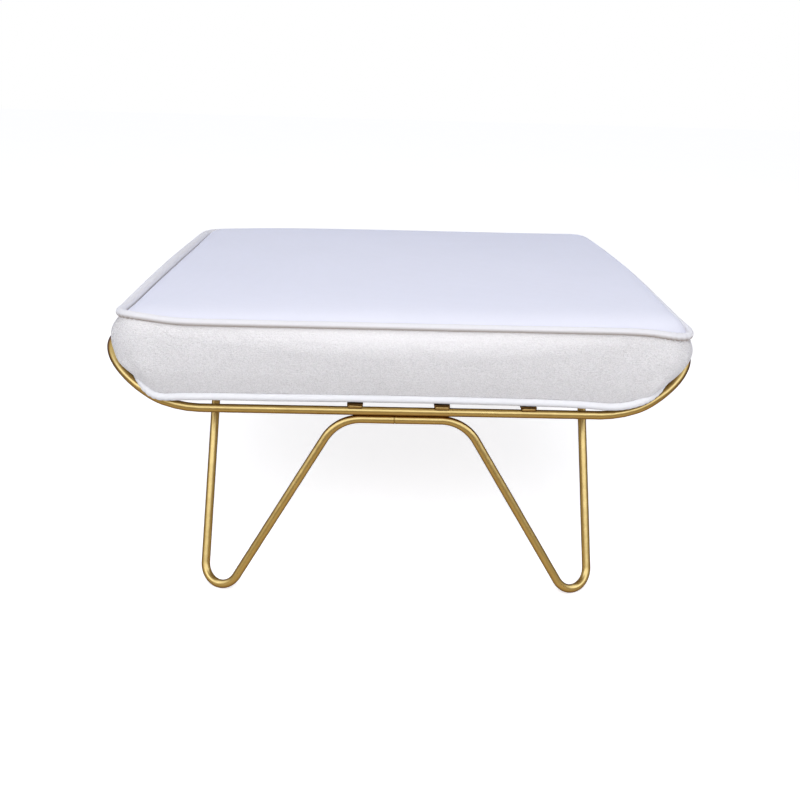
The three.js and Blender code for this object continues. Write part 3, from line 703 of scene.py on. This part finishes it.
# How the sewn cover lies askew on its foam: place as shares of the half sizes, reach along X and Y, shift
TOP_SHIFTS = (
    ((1.0, -1.0), (0.038, 0.045), (0.0105, -0.001, -0.0065)),
    ((1.0, -0.1), (0.03, 0.26), (0.001, 0.0, -0.005)),
    ((-1.0, -1.0), (0.05, 0.05), (0.0, 0.0, 0.002)),
    ((-0.93, -1.0), (0.036, 0.03), (0.0, 0.0, 0.005)),
    ((-1.0, 0.8), (0.05, 0.15), (0.0005, 0.0, 0.0)),
    ((1.0, 0.15), (0.06, 0.2), (0.0076, 0.0, 0.0)),
    ((-1.0, 0.3), (0.03, 0.3), (0.0034, 0.0, 0.0)),
)
BASE_SHIFTS = (
    ((-0.87, -1.0), (0.024, 0.05), (-0.002, -0.0035, -0.0085)),
    ((-0.7, -1.0), (0.06, 0.05), (0.0, 0.0, 0.0012)),
    ((0.86, -1.0), (0.05, 0.05), (0.0, -0.002, -0.004)),
)


def nearness(points, half_sizes, shares, reach):
    """1 at a place given as shares of the half sizes, falling off over its reach."""
    away = (points[:, :2] - np.multiply(shares, half_sizes)) / reach
    return np.exp(-(away[:, 0] ** 2) - away[:, 1] ** 2)


def shifted(points, shifts, half_sizes):
    moved = points.copy()
    for shares, reach, shift in shifts:
        moved += nearness(points, half_sizes, shares, reach)[:, None] * np.array(shift)
    return moved


def top_seam():
    rows = rounded_outline(TOP_HALF_WIDTH, TOP_HALF_DEPTH, TOP_CORNER)
    bow = SIDE_BOW * (1 - (rows[:, 1] / TOP_HALF_DEPTH) ** 2) * rows[:, 0] / TOP_HALF_WIDTH
    points = np.stack([rows[:, 0] + bow, rows[:, 1], np.full(len(rows), TOP_SEAM_HEIGHT)], -1)
    out = np.stack([rows[:, 2], rows[:, 3], 0 * bow], -1)
    return shifted(points, TOP_SHIFTS, TOP_HALF_SIZES), out


def base_flat():
    """The bottom seam's places along and across the tray. Its front is drawn in between the corners."""
    rows = rounded_outline(BASE_HALF_LENGTH, BASE_HALF_DEPTH, BASE_CORNER)
    along, across = rows[:, 0], rows[:, 1]
    draw = BASE_DRAW * (1 - (along / BASE_HALF_LENGTH) ** 2) * np.maximum(-across / BASE_HALF_DEPTH, 0)
    return along, across + draw


def base_seam():
    along, across = base_flat()
    return shifted(on_tray(along, across, BASE_PIPING_LIFT), BASE_SHIFTS, BASE_HALF_SIZES)


HIGH, OUT = top_seam()
LOW = base_seam()
COUNT = len(HIGH)
FRONT_COLUMNS = LONG_STEPS + CORNER_STEPS
SIDE_ROWS = SHORT_STEPS + CORNER_STEPS


def filled(rim):
    """Points inside a closed rim, as rows from front to back, by blending its four sides."""
    nx, ny = FRONT_COLUMNS, SIDE_ROWS
    front = rim[: nx + 1]
    right = rim[nx : nx + ny + 1]
    back = rim[nx + ny : 2 * nx + ny + 1][::-1]
    left = np.vstack([rim[2 * nx + ny :], rim[:1]])[::-1]
    u = np.linspace(0, 1, nx + 1)[None, :, None]
    v = np.linspace(0, 1, ny + 1)[:, None, None]
    sides = (1 - v) * front[None] + v * back[None] + (1 - u) * left[:, None] + u * right[:, None]
    corners = (1 - u) * (1 - v) * front[0] + u * (1 - v) * front[-1]
    corners = corners + (1 - u) * v * back[0] + u * v * back[-1]
    return sides - corners


def rim_indices():
    """Where the rim's points lie in the rows of a filled panel, in the rim's own order."""
    nx, ny = FRONT_COLUMNS, SIDE_ROWS
    wide = nx + 1
    front = list(range(nx))
    right = [row * wide + nx for row in range(ny)]
    back = [ny * wide + nx - k for k in range(nx)]
    left = [(ny - k) * wide for k in range(ny)]
    return front + right + back + left


def grid_faces(columns, rows, start=0, upward=True):
    """The faces between the points of a grid, whose own numbers begin at start."""
    wide = columns + 1
    faces = []
    for row in range(rows):
        for column in range(columns):
            a = start + row * wide + column
            cell = (a, a + 1, a + wide + 1, a + wide)
            faces.append(cell if upward else cell[::-1])
    return faces


def panel_faces(start=0, upward=True):
    return grid_faces(FRONT_COLUMNS, SIDE_ROWS, start, upward)


# How far inside the seam the panel and the band start, and how much the front of the band is eased out again
TOP_TUCK = 0.0026
BAND_TUCK = 0.0028
FRONT_EASE = 0.0017
# How far in the shifts of the seam carry, how far each side's shoulder reaches, and the middle's own rise
LEVEL_REACH = 0.04
SIDE_REACH = 0.06
MIDDLE_RISE = 0.003
# How the panel comes up from its seam at each side: how deep it starts, its rise, and the length of the rise
SHOULDERS = {
    "left": (0.006, 0.0085, 0.014),
    "right": (0.001, 0.019, 0.0075),
    "front": (0.0015, 0.0125, 0.012),
    "back": (0.001, 0.0165, 0.0085),
}


def crowned_panel():
    """The top panel, full over its wadding. It stands highest at the back and the right."""
    rim = HIGH - OUT * TOP_TUCK
    panel = filled(rim)
    flat = panel[..., :2].reshape(-1, 2)
    depth = np.full(len(flat), np.inf)
    for k in range(COUNT):
        a, b = rim[k, :2], rim[(k + 1) % COUNT, :2]
        along = b - a
        share = np.clip(((flat - a) @ along) / max(along @ along, 1e-12), 0, 1)
        depth = np.minimum(depth, np.linalg.norm(flat - a - share[:, None] * along, axis=1))
    depth = depth.reshape(panel.shape[:2])
    x, y = panel[..., 0], panel[..., 1]
    away = {
        "left": TOP_HALF_WIDTH + x,
        "right": TOP_HALF_WIDTH - x,
        "front": TOP_HALF_DEPTH + y,
        "back": TOP_HALF_DEPTH - y,
    }
    weights = {side: np.exp(-np.maximum(length, 0) / SIDE_REACH) for side, length in away.items()}
    whole = sum(weights.values())
    dip, rise, length = (sum(weights[at] * SHOULDERS[at][k] for at in weights) / whole for k in range(3))
    level = np.exp(-depth / LEVEL_REACH)
    panel[..., 2] = TOP_SEAM_HEIGHT + (panel[..., 2] - TOP_SEAM_HEIGHT) * level
    middle = np.clip(1 - (x / TOP_HALF_WIDTH) ** 2, 0, 1) * np.clip(1 - (y / TOP_HALF_DEPTH) ** 2, 0, 1)
    panel[..., 2] += (rise + dip) * (1 - np.exp(-depth / length)) - dip + MIDDLE_RISE * middle
    return panel


# More fullness of the side band here and there: place of the top seam, reach, share of the height, amount
BAND_SWELLS = (
    ((-1.0, -1.0), 0.07, 0.72, 0.004),
    ((-0.97, -1.0), 0.055, 0.27, 0.007),
    ((-1.0, -1.0), 0.06, 0.92, 0.009),
    ((1.0, -0.9), 0.06, 0.75, 0.002),
    ((1.0, -1.0), 0.05, 0.92, 0.0035),
    ((0.0, -1.0), 0.3, 0.88, 0.0045),
)
SWELL_HEIGHT = 0.28
BULGE_POWER = log(1 / 2) / log(BULGE_PEAK_SHARE)
# Waviness of the slack cloth: height, size and seed, once drawn out sideways and once not
BAND_WAVES = ((0.0007, 0.016, 4.4), (0.0005, 0.05, 8.1))
DRAWN_OUT = 0.2


def side_band():
    """Rows of the side band from the bottom seam up. Slack cloth makes it fuller at the folded ends."""
    slack = np.maximum(SEAM_RISE - np.linalg.norm(HIGH - LOW, axis=1), 0)
    front = np.maximum(-OUT[:, 1], 0) ** 2
    (long_wave, long_size, long_seed), (wave, size, seed) = BAND_WAVES
    rows = []
    for row in range(BAND_ROWS + 1):
        height = row / BAND_ROWS
        fullness = sin(pi * height**BULGE_POWER)
        bulge = (BULGE + SLACK_SHARE * slack) * fullness - BAND_TUCK + FRONT_EASE * height * front
        loose = sin(pi * height)
        for shares, reach, level, amount in BAND_SWELLS:
            round_it = loose * exp(-(((height - level) / SWELL_HEIGHT) ** 2))
            bulge = bulge + amount * nearness(HIGH, TOP_HALF_SIZES, shares, reach) * round_it
        for k, point in enumerate(LOW + (HIGH - LOW) * height):
            stretched = (point[0] * DRAWN_OUT, point[1] * DRAWN_OUT, point[2])
            waves = long_wave * ripple(stretched, long_size, long_seed) + wave * ripple(point, size, seed)
            bulge[k] += loose * waves
        rows.append(LOW + (HIGH - LOW) * height + OUT * bulge[:, None])
    return np.array(rows)


# How far the bottom panel sags, and how high it lies over the tray
SAG = 0.0022
PANEL_LIFT = BASE_PIPING_LIFT - PIPING_RADIUS


def off_the_edge(places, half):
    """1 over most of the panel, falling to 0 at its edge."""
    return np.clip(1 - (places / half) ** 6, 0, 1)


def under_panel():
    """The bottom panel, which lies on the slats and sags a little between them and the rails."""
    panel = filled(LOW - OUT * BAND_TUCK)
    along, across = base_flat()
    flat = filled(np.stack([along, across, 0 * along], -1))
    slats = [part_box(name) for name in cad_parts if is_slat(name)]
    slat_x = sorted((low.x + high.x) / 2 for low, high in slats)
    pitch = slat_x[1] - slat_x[0]
    x, y = flat[..., 0], flat[..., 1]
    inside = np.clip(1.5 - np.abs(x) / slat_x[-1], 0, 1)
    between = np.sin(pi * (x - slat_x[0]) / pitch) ** 2
    edge = off_the_edge(x, BASE_HALF_LENGTH) * off_the_edge(y, BASE_HALF_DEPTH)
    rest = on_tray(x.ravel(), y.ravel(), PANEL_LIFT).reshape(panel.shape)
    rest[..., 2] -= SAG * between * inside * edge
    blend = np.clip(edge * 3, 0, 1)[..., None]
    return panel * (1 - blend) + rest * blend


# The cover's cloth simulation: its frames, the most that it may move a point, and its settings
SIM_FRAMES = 20
SIM_CAP = 0.007
COVER_CLOTH = {
    "quality": 6,
    "mass": 0.25,
    "tension_stiffness": 25,
    "compression_stiffness": 25,
    "shear_stiffness": 8,
    "bending_stiffness": 0.35,
    "use_pressure": True,
    "uniform_pressure_force": 4.0,
    "shrink_min": -0.012,
    "vertex_group_mass": "held",
}


def inflate(panel, band, under):
    """Swells the sewn cover with cloth simulation. Its seams and its underside are held."""
    rim = rim_indices()
    over_points, under_points = panel.reshape(-1, 3), under.reshape(-1, 3)
    under_start = len(over_points)
    band_start = under_start + len(under_points)
    vertices = np.vstack([over_points, under_points, band.reshape(-1, 3)])
    faces = panel_faces() + panel_faces(under_start, upward=False)
    loops = [[under_start + i for i in rim]]
    loops += [[band_start + row * COUNT + k for k in range(COUNT)] for row in range(len(band))]
    loops.append(rim)
    for low, high in zip(loops, loops[1:]):
        for k in range(COUNT):
            j = (k + 1) % COUNT
            faces.append((low[k], low[j], high[j], high[k]))
    cover = new_object("cover_simulation", vertices, faces, TOP_CANVAS)
    held = cover.vertex_groups.new(name="held")
    pinned = list(range(under_start, band_start)) + rim + loops[1] + loops[-2]
    held.add(pinned, 1.0, "REPLACE")
    swell = cover.modifiers.new("swell", "CLOTH")
    for label, value in COVER_CLOTH.items():
        setattr(swell.settings, label, value)
    swell.settings.effector_weights.gravity = 0
    swell.collision_settings.use_collision = False
    swell.point_cache.frame_start = 1
    swell.point_cache.frame_end = SIM_FRAMES
    scene = bpy.context.scene
    for step in range(1, SIM_FRAMES + 1):
        scene.frame_set(step)
    graph = bpy.context.evaluated_depsgraph_get()
    swollen = points_of(cover.evaluated_get(graph).to_mesh())
    scene.frame_set(1)
    bpy.data.objects.remove(cover)
    moved = swollen - vertices
    size = np.linalg.norm(moved, axis=1)[:, None]
    moved *= np.minimum(1, SIM_CAP / np.maximum(size, 1e-9))
    shaped = vertices + moved
    return shaped[:under_start].reshape(panel.shape), shaped[band_start:].reshape(band.shape)


def band_piece(name, rows, first, last, low_row, high_row, node):
    """A stretch of the side band between two places round the seam and between two rows."""
    places = [k % COUNT for k in range(first, last + 1)]
    strip = rows[low_row : high_row + 1][:, places]
    faces = grid_faces(len(places) - 1, high_row - low_row)
    cover_piece(name, strip, faces, BAND_CANVAS, node)


# Gathers in the piping: place as shares of the half sizes, reach along the seam, and depth
TOP_GATHERS = (
    ((-1.0, -1.0), 0.026, 0.0017),
    ((1.0, -1.0), 0.032, 0.0012),
    ((1.0, 1.0), 0.03, 0.0006),
    ((-1.0, 1.0), 0.03, 0.0006),
)
BASE_GATHERS = (((-0.9, -1.0), 0.03, 0.0007), ((0.9, -1.0), 0.03, 0.0007))
GATHER_LENGTH = 0.0075
GATHER_DEPTH = 0.00010
GATHER_SLANT = 1.6
# How far the gathers stray: turn, size and seed
GATHER_STRAY = (2.5, 0.012, 2.2)
PIPING_STEP = 0.0018
PIPING_SIDES = 16
# Unevenness of the piping: height, size and seed
PIPING_WOBBLE = ((0.00022, 0.035, 1.3), (0.00012, 0.009, 7.7))
# Where the top piping lies flattened and wide: place, reach along X and Y, and what it adds to the radius
TOP_FLATTENING = (
    ((-1.0, 0.3), (0.03, 0.3), 0.0026),
    ((0.0, -1.0), (0.6, 0.05), -0.0006),
    ((1.0, -1.0), (0.03, 0.04), 0.0009),
)


def piping(name, seam, gathers, half_sizes, finish, node, flattening=()):
    """A covered cord along a seam: slightly uneven, with slanted gathers where the seam turns a corner."""
    path = evenly(seam, PIPING_STEP)
    turns = 2 * pi * np.arange(PIPING_SIDES) / PIPING_SIDES
    depth = GATHER_DEPTH + sum(amount * nearness(path, half_sizes, *at) for *at, amount in gathers)
    wide = PIPING_RADIUS + sum(amount * nearness(path, half_sizes, *at) for *at, amount in flattening)
    wide = np.broadcast_to(wide, len(path))
    radii = np.empty((len(path), PIPING_SIDES))
    stray, stray_size, stray_seed = GATHER_STRAY
    run = 0.0
    for i, point in enumerate(path):
        run += np.linalg.norm(point - path[i - 1]) if i else 0.0
        even = sum(height * ripple(point, size, seed) for height, size, seed in PIPING_WOBBLE)
        turn = 2 * pi * run / GATHER_LENGTH + GATHER_SLANT * np.cos(turns)
        fold = np.sin(turn + stray * ripple(point, stray_size, stray_seed))
        radii[i] = wide[i] + even - depth[i] * np.clip(0.5 - 0.5 * fold, 0, 1) ** 3
    cord = tube(name, path, radii, PIPING_SIDES, finish)
    soft(cord, node)


# Soft folds in the front of the side band: start and end as X and Z, half width and height
BAND_FOLDS = (
    ((-0.338, 0.299), (-0.325, 0.279), 0.009, -0.0036),
    ((0.309, 0.286), (0.296, 0.252), 0.008, 0.0028),
    ((0.335, 0.300), (0.318, 0.275), 0.008, -0.0012),
)


def creased(band):
    """The side band with its folds, each a ridge beside a groove."""
    shaped = band.copy()
    flat = band[..., (0, 2)]
    for start, end, width, height in BAND_FOLDS:
        along = np.subtract(end, start)
        length = np.linalg.norm(along)
        along = along / length
        share = np.clip((flat - start) @ along / length, 0, 1)
        off = flat - start - (share * length)[..., None] * along
        side = off @ np.array([-along[1], along[0]])
        fold = 2 * height * side / width * np.exp(-((np.linalg.norm(off, axis=-1) / width) ** 2))
        shaped += OUT[None] * (fold * (band[..., 1] < 0))[..., None]
    shaped[[0, -1]] = band[[0, -1]]
    return shaped


def cushion_cover():
    panel, band, under = crowned_panel(), side_band(), under_panel()
    panel, band = inflate(panel, band, under)
    band = creased(band)
    cover_piece("top_panel", panel, panel_faces(), TOP_CANVAS, "cover_top")
    cover_piece("bottom_panel", under, panel_faces(upward=False), BAND_CANVAS, "cover_bottom")
    back_start = CORNER_STEPS // 2 + FRONT_COLUMNS + SIDE_ROWS
    zip_first, zip_last = back_start + ZIP_MARGIN, back_start + LONG_STEPS - ZIP_MARGIN
    middle = BAND_ROWS // 2
    band_piece("side_band", band, zip_last, COUNT + zip_first, 0, BAND_ROWS, "boxing")
    band_piece("zip_strip_lower", band, zip_first, zip_last, 0, middle, "zip_band_lower")
    band_piece("zip_strip_upper", band, zip_first, zip_last, middle, BAND_ROWS, "zip_band_upper")
    piping("top_piping", HIGH, TOP_GATHERS, TOP_HALF_SIZES, PIPING_CANVAS, "piping_top", TOP_FLATTENING)
    piping("bottom_piping", LOW, BASE_GATHERS, BASE_HALF_SIZES, BASE_PIPING_CANVAS, "piping_bottom")
    return panel


FLOOR_REACH = 9
ROOM_COLOUR = (0.93, 0.94, 1.0, 1)
ROOM_LIGHT = 0.5
# What metal mirrors: a dim front and a bright back wall, and a large panel high up, brightest in its middle
WALL = {"From Min": 0.1, "From Max": 0.6, "To Min": 0.42, "To Max": 1.0}
PANEL_RISE = (0.22, 0.46)
PANEL_FALL = (0.98, 0.75)
PANEL_LIGHT = 2.45
PANEL_TINT = (0.80, 1.0, 1.6, 1)
TINTED_FROM = (0.2, 1.6)
# Name, place, target, width, height, power, colour, and whether metal mirrors it
LAMPS = (
    ("key lamp", (-0.15, -1.1, 1.7), (0, 0, 0.3), 2.2, 1.5, 19.5, (0.98, 0.985, 1.0), False),
    ("front fill", (0.8, -2.3, 1.0), (0, 0, 0.25), 1.2, 1.4, 8.5, (1.0, 0.985, 0.97), False),
    ("left strip", (-1.5, -1.5, 0.9), (0, 0, 0.2), 0.4, 1.6, 1.2, (1.0, 0.99, 0.97), True),
)


def stage_and_light():
    corners = [(FLOOR_REACH * x, FLOOR_REACH * y, 0) for x, y in ((-1, -1), (1, -1), (1, 1), (-1, 1))]
    floor = new_object("floor", corners, [(0, 1, 2, 3)], pale_floor())
    world = bpy.data.worlds.new("studio")
    bpy.context.scene.world = world
    world.use_nodes = True
    tree = world.node_tree
    tree.nodes.clear()
    way = place(tree, "TexCoord").outputs["Generated"]
    parts = place(tree, "SeparateXYZ", {"Vector": way})
    wall = place(tree, "MapRange", {"Value": parts.outputs["Y"], **WALL})
    rise, fall = (steepen(tree, parts.outputs["Z"], *ends) for ends in (PANEL_RISE, PANEL_FALL))
    panel_light = multiply(tree, multiply(tree, rise, fall), PANEL_LIGHT)
    from_camera, seen_in_metal = kinds_of_ray(tree)
    around = calculate(tree, "MAXIMUM", wall.outputs["Result"], panel_light)
    room = place(tree, "Background", {"Color": ROOM_COLOUR, "Strength": ROOM_LIGHT})
    tint = mix_colours(tree, steepen(tree, panel_light, *TINTED_FROM), (1, 1, 1, 1), PANEL_TINT)
    mirrored = place(tree, "Background", {"Color": tint, "Strength": around})
    white = place(tree, "Background", {"Color": (1, 1, 1, 1), "Strength": 1.0})
    lit = mix_shaders(tree, seen_in_metal, room, mirrored)
    place(tree, "OutputWorld", {"Surface": mix_shaders(tree, from_camera, lit, white).outputs[0]})
    for lamp in LAMPS:
        soft_lamp(*lamp)


def soft_lamp(name, at, target, width, height, power, colour, mirrored):
    lamp = bpy.data.lights.new(name, "AREA")
    lamp.shape = "RECTANGLE"
    lamp.size, lamp.size_y = width, height
    lamp.energy = power
    lamp.color = colour
    holder = bpy.data.objects.new(name, lamp)
    holder.location = at
    holder.rotation_euler = (Vector(target) - Vector(at)).to_track_quat("-Z", "Y").to_euler()
    holder.visible_glossy = mirrored
    bpy.context.scene.collection.objects.link(holder)


FLOOR_TONES = (0.86, 0.86, 0.86, 1), (0.88, 0.88, 0.88, 1)
# The floor's glow where the camera sees it, which melts it into the background
SEEN_GLOW = 0.58
# What metal mirrors of the floor, painted light and shade seen only in reflections: a faint painted glow
# outside the object's own outline, and a greyer tone before the lit pool, a painted darker reflection, which
# ends between these two places along Y
MIRRORED_GLOW = 0.02
UNDER_EDGE = 0.38
UNDER_END = 0.46
POOL_START = -0.6
POOL_EDGE = -0.9
FAR_MIRRORED_SHADE = (0.62, 0.62, 0.62, 1)


def pale_floor():
    """A white floor whose lit parts melt into the background, and which keeps the object's shadow."""
    material, tree = new_material("pale floor")
    at = place(tree, "TexCoord").outputs["Object"]
    tone = mix_colours(tree, noise_at(tree, at, 0.4), *FLOOR_TONES)
    from_camera, mirrored = kinds_of_ray(tree)
    spot = place(tree, "SeparateXYZ", {"Vector": at}).outputs
    beyond = multiply(tree, mirrored, steepen(tree, spot["Y"], POOL_START, POOL_EDGE))
    away = calculate(tree, "MAXIMUM", *(calculate(tree, "ABSOLUTE", spot[axis]) for axis in "XY"))
    open_floor = steepen(tree, away, UNDER_EDGE, UNDER_END)
    # Painted darker reflection: a greyer floor tone that only metal sees, beyond the pool
    tone = mix_colours(tree, beyond, tone, FAR_MIRRORED_SHADE)
    shader = place(tree, "BsdfDiffuse", {"Color": tone})
    # Painted glow seen only in metal, inside the pool and outside the object's outline
    in_pool = multiply(tree, calculate(tree, "SUBTRACT", mirrored, beyond), MIRRORED_GLOW)
    in_pool = multiply(tree, in_pool, open_floor)
    strength = multiply(tree, from_camera, SEEN_GLOW, in_pool)
    glow = place(tree, "Emission", {"Color": (1, 1, 1, 1), "Strength": strength})
    seen = calculate(tree, "MAXIMUM", from_camera, mirrored)
    added = place(tree, "AddShader")
    tree.links.new(shader.outputs[0], added.inputs[0])
    tree.links.new(glow.outputs[0], added.inputs[1])
    place(tree, "OutputMaterial", {"Surface": mix_shaders(tree, seen, shader, added).outputs[0]})
    return material


CAMERA_AT = (-0.0243, -1.12419, 0.63643)
# Yaw, pitch and roll
CAMERA_TURNS = (radians(1.48), radians(24.01), radians(1.71))
CAMERA_LENS = 33.88
SENSOR_WIDTH = 36


def camera():
    view = bpy.data.cameras.new("camera")
    view.lens = CAMERA_LENS
    view.sensor_width = SENSOR_WIDTH
    view.sensor_fit = "HORIZONTAL"
    holder = bpy.data.objects.new("camera", view)
    yaw, pitch, roll = CAMERA_TURNS
    level = Vector((cos(yaw), -sin(yaw), 0))
    ahead = Vector((sin(yaw) * cos(pitch), cos(yaw) * cos(pitch), -sin(pitch)))
    over = level.cross(ahead)
    right = level * cos(roll) + over * sin(roll)
    up = over * cos(roll) - level * sin(roll)
    turn = Matrix((right, up, -ahead)).transposed().to_4x4()
    holder.matrix_world = Matrix.Translation(CAMERA_AT) @ turn
    bpy.context.scene.collection.objects.link(holder)
    bpy.context.scene.camera = holder


def carried_over():
    """Finishes for the solids that stay as they are."""
    finishes = {name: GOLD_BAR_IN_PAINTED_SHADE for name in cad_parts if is_slat(name)}
    finishes |= {"zip_slider": ZIP_METAL, "zip_chain": ZIP_TAPE}
    for name, finish in finishes.items():
        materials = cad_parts[name].data.materials
        materials.clear()
        materials.append(finish)


# How deep the filling lies under the cover, how thick the wadding is, and how far the filling is drawn in
UNDER_CLOTH = 0.0035
WADDING = 0.009
FILLING_SHARE = 0.978


def filling(panel):
    """The foam block and the wadding over and under it, pressed to the shape of the cover."""
    over = panel.reshape(-1, 3)
    for name, node, finish, slot, depth in (
        ("foam_block", "foam_core", FOAM, "foam", UNDER_CLOTH + WADDING),
        ("upper_wadding", "wadding_top", FIBRE, "wadding", UNDER_CLOTH),
        ("lower_wadding", "wadding_bottom", FIBRE, "wadding", None),
    ):
        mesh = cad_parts[node].data.copy()
        piece = bpy.data.objects.new(name, mesh)
        bpy.context.scene.collection.objects.link(piece)
        mesh.materials.clear()
        mesh.materials.append(finish)
        points = points_of(mesh)
        points[:, :2] *= FILLING_SHARE
        if depth is not None:
            for i, point in enumerate(points):
                near = np.argmin((over[:, 0] - point[0]) ** 2 + (over[:, 1] - point[1]) ** 2)
                below = WADDING * (slot == "wadding" and mesh.vertices[i].normal.z < 0)
                points[i, 2] = min(point[2], over[near, 2] - depth - below)
        set_points(mesh, points)
        soft(piece, node)


camera()
stage_and_light()
seat_ring()
leg_loop("front_leg_rod", "leg_loop_front", False)
leg_loop("rear_leg_rod", "leg_loop_rear", True)
weld_beads()
carried_over()
filling(cushion_cover())

bpy.context.scene.view_settings.view_transform = "Standard"
